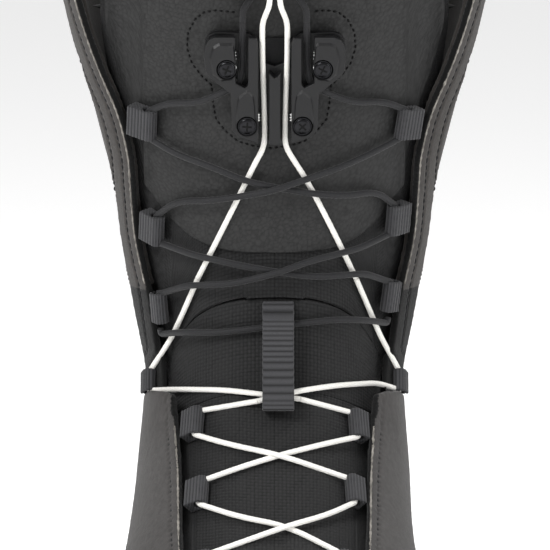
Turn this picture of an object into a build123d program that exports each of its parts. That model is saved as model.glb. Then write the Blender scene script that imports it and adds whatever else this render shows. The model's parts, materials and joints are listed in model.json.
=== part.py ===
from build123d import *
import math
import os

# Snowboard boot, two-zone lace closure, right foot.  Millimetres, +Z up,
# toe towards -Y, heel towards +Y, inner (medial) side towards +X.
os.makedirs("parts", exist_ok=True)

# ---------------------------------------------------------------- dimensions
OFFSET = (0.0, 10.843, 0.0)       # puts the middle of the boot's box at X=0, Y=0
SHELL_T = 2.4                   # leather shell thickness
OVER_T = 1.7                    # thickness of overlays sewn on the shell
GAP = 0.3                       # clearance between sewn layers
WHITE_D = 1.8                   # lower-zone lace diameter
BLACK_D = 2.4                   # upper-zone lace diameter
WEB_W = 10.0                    # webbing width
HINGE_Y, HINGE_Z = 62.0, 112.0  # ankle flex axis
CUFF_RAY = 132.0                # lower front limit of the cuff, degrees from +Y at the ankle axis
FOOT_RAY = 149.0                # upper front limit of the foot part
LINER_D = 10.4                  # depth of the liner's outer face below the shell's
LINER_T = 5.0
TONGUE_TOP = 318.0
CUFF_TOP_FRONT, CUFF_TOP_BACK = 283.0, 278.0


def pchip(tab):
    xs = [float(p[0]) for p in tab]
    ys = [float(p[1]) for p in tab]
    n = len(xs)
    h = [xs[i + 1] - xs[i] for i in range(n - 1)]
    d = [(ys[i + 1] - ys[i]) / h[i] for i in range(n - 1)]
    m = [0.0] * n
    m[0], m[-1] = d[0], d[-1]
    for i in range(1, n - 1):
        if d[i - 1] * d[i] > 0:
            w1, w2 = 2 * h[i] + h[i - 1], h[i] + 2 * h[i - 1]
            m[i] = (w1 + w2) / (w1 / d[i - 1] + w2 / d[i])

    def f(x):
        if x <= xs[0]:
            return ys[0]
        if x >= xs[-1]:
            return ys[-1]
        lo, hi = 0, n - 1
        while hi - lo > 1:
            k = (lo + hi) // 2
            if xs[k] <= x:
                lo = k
            else:
                hi = k
        t = (x - xs[lo]) / h[lo]
        return ((2 * t**3 - 3 * t**2 + 1) * ys[lo] + (t**3 - 2 * t**2 + t) * h[lo] * m[lo]
                + (-2 * t**3 + 3 * t**2) * ys[lo + 1] + (t**3 - t**2) * h[lo] * m[lo + 1])
    return f


def smooth(a, b, x):
    t = max(0.0, min(1.0, (x - a) / (b - a)))
    return t * t * (3 - 2 * t)


# outer skin: front line, back line and widths against height
FRONT = pchip([(14, -146), (20, -150), (30, -157), (42, -161), (55, -160), (66, -154), (75, -144), (81, -133), (85, -122), (90, -109), (96, -95), (103, -81.5), (111, -69), (120, -57.5), (130, -46), (140, -35), (148, -26.5), (155, -19), (162, -12.5), (168, -8.5), (176, -6), (186, -5.5), (200, -6.5), (230, -11), (260, -17.5), (290, -25), (320, -32), (350, -39)])
BACK = pchip([(14, 126), (20, 128), (30, 132), (45, 137.5), (60, 139.5), (80, 138.5), (100, 134.5), (120, 130), (140, 126.5), (160, 124.5), (180, 122.5), (200, 120), (230, 115.5), (260, 110.5), (290, 105), (320, 99), (350, 93)])
SHAFTW = pchip([(60, 46), (90, 45), (110, 43.5), (130, 42), (150, 41.5), (160, 42), (168, 43.8), (176, 45.8), (188, 48.2), (200, 49.9), (212, 51.2), (222, 53.3), (232, 55.8), (245, 58.9), (260, 62.3), (275, 65.6), (290, 68), (320, 71), (350, 73)])
FOOTL = pchip([(-170, 20), (-155, 30), (-140, 41), (-120, 49.5), (-100, 54), (-75, 55), (-45, 51), (-10, 46), (30, 43), (70, 42.5), (110, 42), (145, 42)])
FOOTM = pchip([(-170, 34), (-155, 41), (-140, 47), (-120, 51.5), (-100, 52.5), (-75, 50.5), (-45, 46.5), (-10, 43), (30, 41.5), (70, 42), (110, 42), (145, 42)])
CX = pchip([(-165, 7), (-120, 4.5), (-80, 2), (-40, 0.6), (-10, 0), (150, 0)])
SCALE = pchip([(14, .93), (20, 0.945), (30, 0.97), (45, 1.0), (60, 1.0), (80, 0.985), (100, 0.97), (120, 0.96), (150, 0.95)])
REARLEN = pchip([(14, 42), (60, 46), (100, 50), (140, 58), (160, 66), (200, 70), (260, 74), (320, 76), (350, 76)])
FRONTLEN = pchip([(14, 62), (55, 62), (75, 56), (90, 58), (110, 60), (130, 62), (150, 62), (170, 56), (200, 54), (260, 52), (350, 52)])
NFRONT = pchip([(14, 2.15), (150, 2.15), (190, 2.4), (230, 2.6), (350, 2.6)])
# sole line (top edge of the midsole) along the boot
SOLE = pchip([(-170, 36), (-161, 34), (-140, 29), (-110, 26), (-60, 25), (0, 28), (60, 33), (120, 36), (142, 38)])
# half width between the lace edges, low zone and high zone
THROAT_LOW = pchip([(88, 18), (92, 20), (97, 24), (104, 27.5), (115, 29.5), (135, 30.3), (142, 31), (147, 31.5), (152, 33.5), (158, 36)])
THROAT_UP = pchip([(150, 36.0), (164, 37), (175, 38.5), (186, 40), (197, 42.3), (207, 44), (219, 44.8), (230, 45.4), (238, 46.8), (246, 49), (252, 51.5), (259, 54.5), (270, 58.5), (280, 61.5), (288, 63.5)])


def halfwidth(y, z, side):
    m = smooth(92, 152, z)
    foot = (FOOTM if side > 0 else FOOTL)(y) * SCALE(z)
    w = (1 - m) * foot + m * SHAFTW(z)
    yf, yb = FRONT(z), BACK(z)
    tf = min(1.0, max(0.0, (y - yf) / FRONTLEN(z)))
    tb = min(1.0, max(0.0, (yb - y) / REARLEN(z)))
    nf, nb = NFRONT(z), 2.2
    return w * max(0, 1 - (1 - tf)**nf)**(1 / nf) * max(0, 1 - (1 - tb)**nb)**(1 / nb)


def P(q, z):
    """Point of the outer skin: q 0 front centre, +-1 back centre, + on the inner side."""
    side = 1 if q >= 0 else -1
    a = abs(q)
    if a > 1:
        a, side = 2 - a, -side
    yf, yb = FRONT(z), BACK(z)
    y = yb + (yf - yb) * (1 - math.cos(math.pi * (1 - a))) / 2
    return (CX(y) * (1 - smooth(100, 150, z)) + side * halfwidth(y, z, side), y, z)


def N(q, z):
    """Inward unit normal of the outer skin."""
    e = 0.004
    a, b, c, d = P(q - e, z), P(q + e, z), P(q, z - 0.6), P(q, z + 0.6)
    u = [b[i] - a[i] for i in range(3)]
    v = [d[i] - c[i] for i in range(3)]
    n = (u[1] * v[2] - u[2] * v[1], u[2] * v[0] - u[0] * v[2], u[0] * v[1] - u[1] * v[0])
    k = math.sqrt(sum(t * t for t in n)) or 1
    return (-n[0] / k, -n[1] / k, -n[2] / k)


def S(q, z, d=0.0):
    p, n = P(q, z), N(q, z)
    return (p[0] + n[0] * d, p[1] + n[1] * d, p[2] + n[2] * d)


def q_at_x(x, z, side=1):
    lo, hi = 0.0, 0.6
    for _ in range(22):
        m = (lo + hi) / 2
        if abs(P(side * m, z)[0]) < x:
            lo = m
        else:
            hi = m
    return (lo + hi) / 2


def q_at_y(y, z):
    yf, yb = FRONT(z), BACK(z)
    c = max(-1.0, min(1.0, 1 - 2 * (yb - y) / (yb - yf)))
    return 1 - math.acos(c) / math.pi


# ---------------------------------------------------------------- builders
def ray_z(y, deg):
    """height of the radial plane through the ankle axis at y"""
    return HINGE_Z + (y - HINGE_Y) * math.tan(math.radians(deg))


# upper limit of the foot part: slanted in front of the ankle axis, level behind it
FOOT_TOP = pchip([(-60, 185.3), (-30, ray_z(-30, FOOT_RAY)), (0, ray_z(0, FOOT_RAY)), (20, ray_z(20, FOOT_RAY)), (40, ray_z(40, FOOT_RAY)), (52, 117.5), (60, 112.6), (68, 110.9), (80, 110.8), (145, 110.8)])
# lower limit of the cuff
CUFF_BOT = pchip([(-60, 247.5), (-30, ray_z(-30, CUFF_RAY)), (-10, ray_z(-10, CUFF_RAY)), (10, ray_z(10, CUFF_RAY)), (30, ray_z(30, CUFF_RAY)), (45, 131.2), (54, 121.8), (61, 116.2), (68, 114.3), (80, 114.2), (145, 115.0)])


def table(fn, z0, z1, step=2.0):
    n = max(2, int((z1 - z0) / step))
    return pchip([(z0 + (z1 - z0) * i / n, fn(z0 + (z1 - z0) * i / n)) for i in range(n + 1)])


def grid(qa, qb, za, zb, d, nu=28, nv=18):
    g = []
    for i in range(nu + 1):
        u, row = i / nu, []
        lo0 = None
        for j in range(nv + 1):
            v = j / nv

            def err(z):
                y = P(qa(z) + (qb(z) - qa(z)) * u, z)[1]
                return z - za(y) - (zb(y) - za(y)) * v
            lo, hi = 15.0, 345.0
            if lo0 is not None:
                lo = lo0
                hi = min(345.0, lo0 + 60.0)
                if err(lo) > 0 or err(hi) < 0:
                    lo, hi = 15.0, 345.0
            fl, fh = err(lo), err(hi)
            for k in range(26):
                m = (lo + hi) / 2 if k % 2 == 0 or fh == fl else lo - fl * (hi - lo) / (fh - fl)
                fm = err(m)
                if abs(fm) < 0.004:
                    lo = hi = m
                    break
                if fm < 0:
                    lo, fl = m, fm
                else:
                    hi, fh = m, fm
            z = (lo + hi) / 2
            lo0 = z - 0.5
            q = qa(z) + (qb(z) - qa(z)) * u
            row.append(S(q, z, d(q, z) if callable(d) else d))
        g.append(row)
    return g


def gface(g):
    """smooth face through the point grid: splines across it, lofted along it"""
    nu, nv = len(g), len(g[0])
    par = [i / (nu - 1) for i in range(nu)]
    wires = [Wire([Edge.make_spline([Vector(*g[i][j]) for i in range(nu)], parameters=par)]) for j in range(nv)]
    return Shell.make_loft(wires).faces()[0]


def panel(go, gi):
    """closed solid between two point grids of the same shape"""
    fo, fi = gface(go), gface(gi)

    def edge(f, a, b):
        a, b = Vector(*a), Vector(*b)
        best = None
        for e in f.edges():
            p, q = e.position_at(0), e.position_at(1)
            k = min((p - a).length + (q - b).length, (p - b).length + (q - a).length)
            if best is None or k < best[0]:
                best = (k, e)
        return best[1]
    faces = [fo, fi]
    for a, b in (((0, 0), (0, -1)), ((-1, 0), (-1, -1)), ((0, 0), (-1, 0)), ((0, -1), (-1, -1))):
        eo = edge(fo, go[a[0]][a[1]], go[b[0]][b[1]])
        ei = edge(fi, gi[a[0]][a[1]], gi[b[0]][b[1]])
        if (eo.position_at(0) - Vector(*go[a[0]][a[1]])).length > (eo.position_at(1) - Vector(*go[a[0]][a[1]])).length:
            eo = eo.reversed()
        if (ei.position_at(0) - Vector(*gi[a[0]][a[1]])).length > (ei.position_at(1) - Vector(*gi[a[0]][a[1]])).length:
            ei = ei.reversed()
        faces.append(Face.make_surface_from_curves(eo, ei))
    return Solid(Shell(faces))


def skin_panel(qa, qb, za, zb, d0, d1, nu=28, nv=18):
    return panel(grid(qa, qb, za, zb, d0, nu, nv), grid(qa, qb, za, zb, d1, nu, nv))


def add(a, k):
    return (lambda q, z: a(q, z) + k) if callable(a) else a + k


# depth of the tongue's outer face below the skin: flush in the middle, tucked under the lace edges
def EDGE_X(z):
    return THROAT_UP(z) if z > 158 else THROAT_LOW(max(z, 88))


def TONGUE_D(q, z):
    x = abs(P(q, z)[0])
    e = EDGE_X(z)
    deep = SHELL_T + 0.9 + 3.2 * smooth(235, 285, z)
    mid = 0.5 + 2.5 * (1 - smooth(93, 99, z))
    return mid + (deep - mid) * smooth(0.25, 0.92, x / e)


def TONGUE_T(q, z):
    x = abs(P(q, z)[0])
    return 4.2 - 1.6 * smooth(0.3, 0.95, x / EDGE_X(z))


def on_tongue(x, z, h):
    """point h outside the tongue's face, at the given x and z"""
    side = 1 if x >= 0 else -1
    q, zz = side * q_at_x(abs(x), z, side), z
    for _ in range(14):
        p = S(q, zz, TONGUE_D(q, zz) - h)
        w = abs(P(side * (abs(q) + 0.004), zz)[0] - P(q, zz)[0]) / 0.004 or 1
        q += side * max(-0.03, min(0.03, (x - p[0]) * side / w)) * 0.8
        zz += (z - p[2]) * 0.8
    return S(q, zz, TONGUE_D(q, zz) - h)


def section(z, n=28):
    pts = []
    for i in range(n):
        q = 1 - 2 * i / n
        pts.append(P(q, z)[:2])
    return pts


def inset(pts, d):
    n, out = len(pts), []
    for i in range(n):
        a, b = pts[i - 1], pts[(i + 1) % n]
        tx, ty = b[0] - a[0], b[1] - a[1]
        k = math.hypot(tx, ty)
        out.append((pts[i][0] - ty / k * d, pts[i][1] + tx / k * d))
    return out


_a = section(60)
_t = inset(_a, 5)
IN = 1 if max(p[1] for p in _t) < max(p[1] for p in _a) else -1


def layer(z, d, n=28):
    up = d * 0.75 * (1 - smooth(150, 176, z)) * smooth(55, 75, z)
    return inset(section(z + up, n), d * IN)


def ring(z, d, n=28):
    return Wire([Edge.make_spline([Vector(x, y, z) for x, y in layer(z, d, n)], periodic=True, parameters=[i / n for i in range(n + 1)])])


def tube(d0, d1, zs, floor=None):
    """hollow layer; with floor, closed at the bottom, floor thick"""
    wo = [ring(z, d0) for z in zs]
    zi = list(zs) if floor is None else [zs[0] + floor] + [z for z in zs if z > zs[0] + floor + 3]
    wi = [ring(z, d1) for z in zi]
    so, si = Solid.make_loft(wo), Solid.make_loft(wi)
    fs = [f for f in so.faces() if f.geom_type != GeomType.PLANE] + [f for f in si.faces() if f.geom_type != GeomType.PLANE]
    if floor is None:
        fs.append(Face(wo[0], [wi[0]]))
    else:
        fs += [Face(wo[0]), Face(wi[0])]
    fs.append(Face(wo[-1], [wi[-1]]))
    return Solid(Shell(fs))


def prism_x(pts, x0=-90, x1=90):
    """prism along X of a polygon given in (y, z)"""
    w = Wire.make_polygon([Vector(x0, y, z) for y, z in pts], close=True)
    return Solid.extrude(Face(w), Vector(x1 - x0, 0, 0))


def prism_dir(pts, v):
    return Solid.extrude(Face(Wire.make_polygon([Vector(*p) for p in pts], close=True)), Vector(*v))


def round_path(pts, radii, dia):
    pts = [Vector(*p) for p in pts]
    path = FilletPolyline(*pts, radius=radii)
    w = path.wire() if not isinstance(path, Wire) else path
    t = w.tangent_at(0)
    pl = Plane(origin=w.position_at(0), z_dir=t)
    s = sweep(pl * Circle(dia / 2), path=w)
    return s.solid(), w.length


TIGHT = []                      # corners next to a webbing loop, where the lace turns short


def cord(pts, dia, rmax=60.0):
    """tube of straight runs joined by tangent arcs, each as large as its runs allow"""
    v = [Vector(*p) for p in pts]
    rad = []
    for i in range(1, len(v) - 1):
        a, b = v[i] - v[i - 1], v[i + 1] - v[i]
        ang = math.radians(a.get_angle(b))
        reach = 0.45 * min(a.length, b.length)
        if any((v[i] - Vector(*t)).length < 0.01 for t in TIGHT):
            reach = min(reach, 2.0)
        rad.append(min(reach / math.tan(max(ang, 0.01) / 2), rmax))
    s, ln = round_path(pts, rad, dia)
    print("  cord d%.1f length %.0f, radii %.1f..%.1f, volume/expected %.3f" % (dia, ln, min(rad), max(rad), s.volume / (math.pi * dia * dia / 4 * ln)))
    return s


NODES = {}


def keep(name, *solids):
    out = []
    for s in solids:
        for t in (s if isinstance(s, (list, tuple)) else [s]):
            out += list(t.solids()) if hasattr(t, "solids") else [t]
    NODES.setdefault(name, []).extend(out)



# ---------------------------------------------------------------- sole unit
def sole_outline(z, out, n=44):
    return [Vector(x, y, 0) for x, y in inset(section(z, n), -out * IN)]


def slab(z, out, z0, z1):
    w = Wire([Edge.make_spline([Vector(p.X, p.Y, z0) for p in sole_outline(z, out)], periodic=True)])
    return Solid.extrude(Face(w), Vector(0, 0, z1 - z0))


def sole_wire(z, out, at):
    return Wire([Edge.make_spline([Vector(p.X, p.Y, at) for p in sole_outline(z, out, 32)], periodic=True, parameters=[i / 32 for i in range(33)])])


# midsole: foam, its top edge rises at the toe and heel
mid_body = Solid.make_loft([sole_wire(20, -1.0, 8.0), sole_wire(24, 1.0, 14.0), sole_wire(30, 2.0, 22.0), sole_wire(36, 2.2, 40.0)])
top_pts = [(y, SOLE(y) - 0.25) for y in (-172, -161, -150, -140, -125, -110, -85, -60, -30, 0, 30, 60, 90, 120, 142, 152)]
cut_top = prism_x([(-190, 90), (-190, top_pts[0][1])] + top_pts + [(190, top_pts[-1][1]), (190, 90)])
midsole = mid_body - cut_top
heel_pocket = Pos(0, 88, 30) * Cylinder(23, 24)
shank_pocket = Pos(0, 0, 28) * Box(30, 112, 16)
midsole = midsole - heel_pocket - shank_pocket
keep("midsole", midsole)
keep("heel_cushion", Pos(0, 88, 24.0) * Cylinder(22.5, 11.5))
keep("shank_plate", Pos(0, 0, 22.6) * Box(29, 110, 2.4))

# outsole: rubber plates under forefoot and heel with lugs
plate = slab(20, 0.2, 5.0, 7.9)
gapc = Pos(0, 22, 6) * Box(140, 44, 12)
out = plate - gapc
lugs = []
edge = sole_outline(20, -6.5, 60)
foot_in = sole_outline(20, -17.5, 60)


def lug(cx, cy, lx, ly, a=0.0):
    b = Pos(cx, cy, 2.55) * Rotation(0, 0, a) * Box(lx, ly, 5.1)
    return b


for i in range(60):
    p, pn = edge[i], edge[(i + 1) % 60]
    if 0 <= p.Y - 22 + 22 <= 44:
        continue
    if i % 2:
        continue
    t = pn - p
    lugs.append(lug(p.X, p.Y, 10.5, 9.0, math.degrees(math.atan2(t.Y, t.X))))
for cy in range(-132, 128, 15):
    if -12 < cy < 56:
        continue
    for cx in (-26, -9, 9, 26):
        q = min(max((cy + 150) / 30, 0), 1) * min(max((126 - cy) / 24, 0), 1)
        if abs(cx) > 9 and (q < 0.9 or (cy > 40 and abs(cx) > 20)):
            continue
        k = Vector(cx, cy, 0)
        if min((k - p).length for p in foot_in) < 4 and abs(cx) > 10:
            continue
        lugs.append(lug(cx, cy, 9.5, 7.5, 30 if cx > 0 else -30))
outsole = out
for l in lugs:
    outsole = outsole + l
keep("outsole", outsole)

# ---------------------------------------------------------------- lower shell
SPLIT_Y = -87.0
y_split = {s: table(lambda z: q_at_y(SPLIT_Y, z), 20, 120) for s in (1, -1)}
q_low = {s: table(lambda z, s=s: q_at_x(THROAT_LOW(max(z, 88)), z, s), 84, 166) for s in (1, -1)}
q_up = {s: table(lambda z, s=s: q_at_x(THROAT_UP(z), z, s), 146, 300) for s in (1, -1)}


def shell_bot(y):
    return SOLE(y) + 0.25


VAMP_TOP = 92.0


def quarter(s, name):
    def qa(z):
        a = y_split[s](z) + 0.0015 if z < 99 else 0.0
        b = q_low[s](z) if z > VAMP_TOP - 1.5 else 0.0
        return s * (a + b + math.sqrt((a - b)**2 + 0.02**2 * smooth(86, 92, z))) / 2
    keep(name, skin_panel(qa, lambda z: s * 0.9985, shell_bot, FOOT_TOP, 0, SHELL_T, 34, 22))


for s, nm in ((1, "quarter_medial"), (-1, "quarter_lateral")):
    quarter(s, nm)
keep("toe_box", skin_panel(lambda z: -y_split[-1](z) + 0.0015, lambda z: y_split[1](z) - 0.0015, shell_bot, lambda y: VAMP_TOP, 0, SHELL_T, 40, 18))
keep("toe_cap", skin_panel(lambda z: -q_at_y(-118, min(z, 80)), lambda z: q_at_y(-118, min(z, 80)), lambda y: SOLE(y) + 1.8, lambda y: 66.0, -2.2, -GAP, 36, 12))
keep("heel_counter", skin_panel(lambda z: q_at_y(72, z), lambda z: 2 - q_at_y(72, z), lambda y: SOLE(y) + 1.0, lambda y: 60 + (y - 70) * 0.6, -2.0, -GAP, 36, 12))

# lasting board, footbed
board = Solid.make_loft([sole_wire(36, -5.0, 10.0), sole_wire(36, -5.0, 60.0)])
b_top = [(y, SOLE(y) + 2.4) for y in (-150, -140, -110, -60, 0, 60, 120, 134)]
b_bot = [(y, SOLE(y) + 0.1) for y in (134, 120, 60, 0, -60, -110, -140, -150)]
keep("lasting_board", board.intersect(prism_x(b_top + b_bot)))

# ---------------------------------------------------------------- eyestay flaps
def y_in(s):
    return table(lambda z: P(s * q_low[s](z), z)[1], 90, 156)


for s, side in ((1, "right"), (-1, "left")):
    yi = y_in(s)
    qo = table(lambda z, s=s: q_at_y(min(yi(z) + 36, 26), z), 92, 158)
    qi = table(lambda z, s=s: q_at_x(max(THROAT_LOW(z) - 1.2, 4), z, s), 92, 158)
    top = pchip([(-60, 132), (-40, 138.5), (-30, 144.8), (-25, 148.8), (-20, 152.6), (-12, 154.6), (0, 155.3), (30, 155.3)])
    keep("eyestay_lower_" + side, skin_panel(lambda z, s=s: s * qi(z), lambda z, s=s: s * qo(z), lambda y: 104.5 - (y + 70) * 0.25, lambda y: min(top(y), FOOT_TOP(y) - 0.8), -0.6 - OVER_T, -0.6, 24, 26))

TONGUE_X = pchip([(86, 25), (92, 27), (97, 30), (104, 34), (115, 36), (135, 36.5), (150, 37.5), (160, 38.6), (170, 41), (186, 44.5), (200, 47), (215, 49), (230, 51.5), (245, 54.5), (260, 58), (272, 60.5), (284, 61), (295, 59.5), (305, 57), (312, 54), (318, 51), (330, 48)])
# ---------------------------------------------------------------- cuff shell
def cuff_top(y):
    t = max(0.0, min(1.0, (y + 6) / 112))
    return CUFF_TOP_FRONT + 9 * math.sin(math.pi * min(1, t * 1.25)) * (1 - t) + (CUFF_TOP_BACK - CUFF_TOP_FRONT) * t


for s, side in ((1, "right"), (-1, "left")):
    keep("cuff_shell_" + side, skin_panel(lambda z, s=s: s * q_up[s](z), lambda z, s=s: s * 0.9985, CUFF_BOT, cuff_top, 0, SHELL_T, 34, 22))
    qi = table(lambda z, s=s: q_at_x(THROAT_UP(z) - 1.0, z, s), 146, 300)
    qo = table(lambda z, s=s: q_at_y(P(s * q_up[s](z), z)[1] + 11, z), 146, 300)
    keep("eyestay_upper_" + side, skin_panel(lambda z, s=s: s * qi(z), lambda z, s=s: s * qo(z), lambda y: CUFF_BOT(y) + 0.4, lambda y: cuff_top(y) - 0.3, -GAP - OVER_T, -GAP, 8, 26))
    keep("collar_binding_" + side, skin_panel(lambda z, s=s: s * (q_up[s](z) + 0.002), lambda z, s=s: s * 0.9985, lambda y: cuff_top(y) + 0.3, lambda y: cuff_top(y) + 4.3, -0.9, SHELL_T + 1.0, 30, 4))
    # soft band behind both shells, bridging them over the ankle axis
    qe = table(lambda z, s=s: q_at_x(TONGUE_X(z) + 1.2, z, s), 90, 220)
    keep("flex_bands", skin_panel(lambda z, s=s: s * qe(z), lambda z, s=s: s * 0.9985, lambda y: FOOT_TOP(y) - 9.0, lambda y: CUFF_BOT(y) + 9.0, SHELL_T + 0.6, SHELL_T + 1.5, 30, 14))
    # facing strip that carries the ankle loops, in the flexing wedge
    yw = table(lambda z, s=s: P(s * qe(z), z)[1], 140, 200)
    qi2 = table(lambda z, s=s: q_at_x(THROAT_UP(z) - 1.0, z, s), 146, 200)
    qo2 = table(lambda z, s=s: q_at_y(P(s * q_up[s](max(z, 150)), z)[1] + 9, z), 146, 200)
    keep("flex_facings", skin_panel(lambda z, s=s: s * qi2(z), lambda z, s=s: s * qo2(z), lambda y: max(FOOT_TOP(y) + 0.6, 155.2), lambda y: CUFF_BOT(y) - 0.5, -0.6, 1.2, 8, 12))

keep("back_stay", skin_panel(lambda z: 0.905, lambda z: 1.095, lambda y: 116.5, lambda y: CUFF_TOP_BACK - 2, -GAP - OVER_T, -GAP, 16, 18))

# ---------------------------------------------------------------- tongue
qt = {s: table(lambda z, s=s: q_at_x(TONGUE_X(z), z, s), 86, 330) for s in (1, -1)}
T_IN = lambda q, z: TONGUE_D(q, z) + TONGUE_T(q, z)
y_front_low = -92.0
keep("tongue_lower", skin_panel(lambda z: -qt[-1](z), lambda z: qt[1](z), lambda y: 90.5, lambda y: ray_z(y, FOOT_RAY), TONGUE_D, T_IN, 30, 18))
keep("tongue_flex", skin_panel(lambda z: -qt[-1](z), lambda z: qt[1](z), lambda y: ray_z(y, FOOT_RAY) + 0.4, lambda y: ray_z(y, CUFF_RAY) - 0.4, TONGUE_D, T_IN, 30, 10))
keep("tongue_upper", skin_panel(lambda z: -qt[-1](z), lambda z: qt[1](z), lambda y: ray_z(y, CUFF_RAY), lambda y: TONGUE_TOP - 7.0 * smooth(-20, 22, y), TONGUE_D, T_IN, 30, 26))


qov = {s: table(lambda z, s=s: q_at_x(min(TONGUE_X(z) - 2.5, THROAT_UP(z) - 1.6), z, s), 190, 330) for s in (1, -1)}
keep("tongue_overlay", skin_panel(lambda z: -qov[-1](z), lambda z: qov[1](z), lambda y: 201.0 + 52.0 * smooth(-9, 26, y), lambda y: TONGUE_TOP - 1.5 - 7.0 * smooth(-20, 22, y), lambda q, z: TONGUE_D(q, z) - 1.0, lambda q, z: TONGUE_D(q, z) - 0.25, 30, 20))

BOARD_TOP = 40.2
fill_top = [(-150, BOARD_TOP), (134, BOARD_TOP)]
fill_bot = [(y, SOLE(y) + 2.6) for y in (134, 120, 60, 0, -60, -110, -140, -150)]
keep("board_filler", board.intersect(prism_x(fill_top + fill_bot)))

# ---------------------------------------------------------------- webbing loops
def on_skin(x, z, h):
    side = 1 if x >= 0 else -1
    q = side * q_at_x(abs(x), z, side)
    return S(q, z, -h)


def frame_at(x, z, h=0.0, where=on_tongue, lean=0.0):
    """plane on the face: local x up along it, local z outward, local y sideways"""
    o = Vector(*where(x, z, h))
    up = Vector(*where(x + lean, z + 4, h)) - Vector(*where(x - lean, z - 4, h))
    lat = Vector(*where(x + 2, z, h)) - Vector(*where(x - 2, z, h))
    n = lat.cross(up).normalized()
    if n.Y > 0:
        n = n * -1
    return Plane(origin=o, x_dir=up.normalized(), z_dir=n)


def inward(pl, x):
    """+1 or -1: which way local y leads to the middle of the boot"""
    a = pl.from_local_coords(Vector(0, 1, 0)) - pl.origin
    return -1.0 if a.X * x > 0 else 1.0


def web_loop(pl, x, inner, outer, hole, lift=0.3, thick=4.6, wide=WEB_W):
    k = inward(pl, x)
    b = Pos(0, k * (inner - outer) / 2, lift + thick / 2) * Box(wide, inner + outer, thick)
    b = fillet(b.edges().filter_by(Axis.X).filter_by(lambda e: e.center().Y * k > 0.5), thick * 0.42)
    b = b - Pos(0, k * (inner - hole / 2 - 1.5), lift + thick / 2) * Rotation(0, 90, 0) * Cylinder(hole / 2, wide + 4)
    return pl * b, k * (inner - hole / 2 - 1.5), lift + thick / 2


def through(pl, yc, zc, reach=8.0):
    t = [tuple(pl.from_local_coords(Vector(a, yc, zc))) for a in (reach, -reach)]
    TIGHT.extend(t)
    return t


UP = {"L1": (-39.5, 243.9, 0.2), "R1": (40.6, 243.6, 0.6), "L2": (-36.6, 208.9, 0.2), "R2": (37.0, 212.0, 0.3), "L3": (-34.2, 182.4, -0.3), "R3": (34.4, 186.2, 0.5)}
LOW = {"L1": (-24.9, 145.9, 0.3), "R1": (26.0, 145.0, -0.3), "L2": (-23.6, 127.3, 0.3), "R2": (25.0, 127.4, -0.3), "L3": (-22.6, 108.8, 1.0), "R3": (22.8, 108.8, -1.0)}
loops, hole_at = {"UL": [], "UR": [], "LL": [], "LR": []}, {}
for tag, tab, hole in (("U", UP, BLACK_D + 0.9), ("L", LOW, WHITE_D + 1.4)):
    for nm, (x, z, lean) in tab.items():
        pl = frame_at(x, z, 0.0, on_tongue, lean)
        edge_x = (THROAT_UP(z) if tag == "U" else THROAT_LOW(z)) - 1.2
        outer = min(5.0, edge_x - 2.7 - abs(x))
        lift = 0.35 if tag == "L" else 1.9 if nm[1] == "3" else 1.4
        sol, yc, zc = web_loop(pl, x, 3.5 if nm[1] == "3" and tag == "U" else 4.6, max(0.4, outer), hole, lift)
        loops[tag + nm[0]].append(sol)
        hole_at[tag + nm] = (pl, yc, zc)
keep("lace_loops_upper", *loops["UL"], *loops["UR"])
keep("lace_loops_lower", *loops["LL"], *loops["LR"])
ank = []
for nm, x in (("AL", -38.0), ("AR", 38.0)):
    pl = frame_at(x, 156.0, 0.6, on_skin, 0.0)
    sol, yc, zc = web_loop(pl, x, 3.0, 1.6, WHITE_D + 0.9, 0.4, 4.2, 7.4)
    ank.append(sol)
    hole_at[nm] = (pl, yc, zc)
keep("ankle_loops", *ank)

# webbing guide across the toe end of the lace zone
gp = frame_at(0.6, 99.5, 0.0)
g = Pos(0, 0, 0.3 + 2.1) * Box(9.0, 16.0, 4.2)
g = fillet(g.edges().filter_by(Axis.Y), 1.6)
g = g - Pos(0, 0, 2.4) * Rotation(90, 0, 0) * Cylinder(1.45, 30)
keep("toe_lace_guide", gp * g)

# ---------------------------------------------------------------- lace lock
lp = frame_at(0, 259.4, 0.0)
LK = Plane(origin=lp.origin, x_dir=(1, 0, 0), z_dir=lp.z_dir)


def lk(u, w, n):
    return tuple(LK.from_local_coords(Vector(u, w, n)))


def flat(pts, n0, n1):
    return Solid.extrude(Face(Wire.make_polygon([Vector(u, w, n0) for u, w in pts], close=True)), Vector(0, 0, n1 - n0))


def mir(pts):
    return [(-u, w) for u, w in pts][::-1]


PAD_N, BASE_N, CH_N, COV_N = 2.0, 2.3, 4.3, 7.1     # levels above the tongue face
WING = [(-12.4, 15.6), (-18.6, 15.6), (-20.7, 14.7), (-21.8, 12.9), (-22.2, 9.9), (-21.7, 4.3), (-20.4, 2.4), (-13.9, -3.1), (-13.6, -9.6), (-13.4, -15.2), (-11.4, -17.6), (-5.2, -19.7)]
COVER = WING + [(-5.2, 13.0), (-5.7, 15.3), (-8.3, 15.3), (-8.4, 0.0), (-9.2, -1.2), (-12.3, 0.4)]
BASE = WING[1:] + [(0, -20.9)] + mir(WING[1:]) + [(8.0, 15.3), (5.2, 13.0), (3.0, 5.5), (0, 4.4), (-3.0, 5.5), (-5.2, 13.0), (-8.0, 15.3)]
SCREWS = [(-15.0, 5.1), (15.0, 5.1), (-8.7, -13.7), (8.7, -13.7)]
base = flat(BASE, BASE_N, CH_N)
for u, w in SCREWS:
    base = base - Pos(u, w, BASE_N) * Cylinder(1.3, 6)
keep("lock_base", LK * base)
qp = {s_: table(lambda z, s_=s_: q_at_x(12.2, z, s_), 234, 282) for s_ in (1, -1)}
keep("lock_pad", skin_panel(lambda z: -qp[-1](z), lambda z: qp[1](z), lambda y: 241.5, lambda y: 272.0, lambda q, z: TONGUE_D(q, z) - 1.9, lambda q, z: TONGUE_D(q, z) - 1.25, 16, 8))
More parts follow.
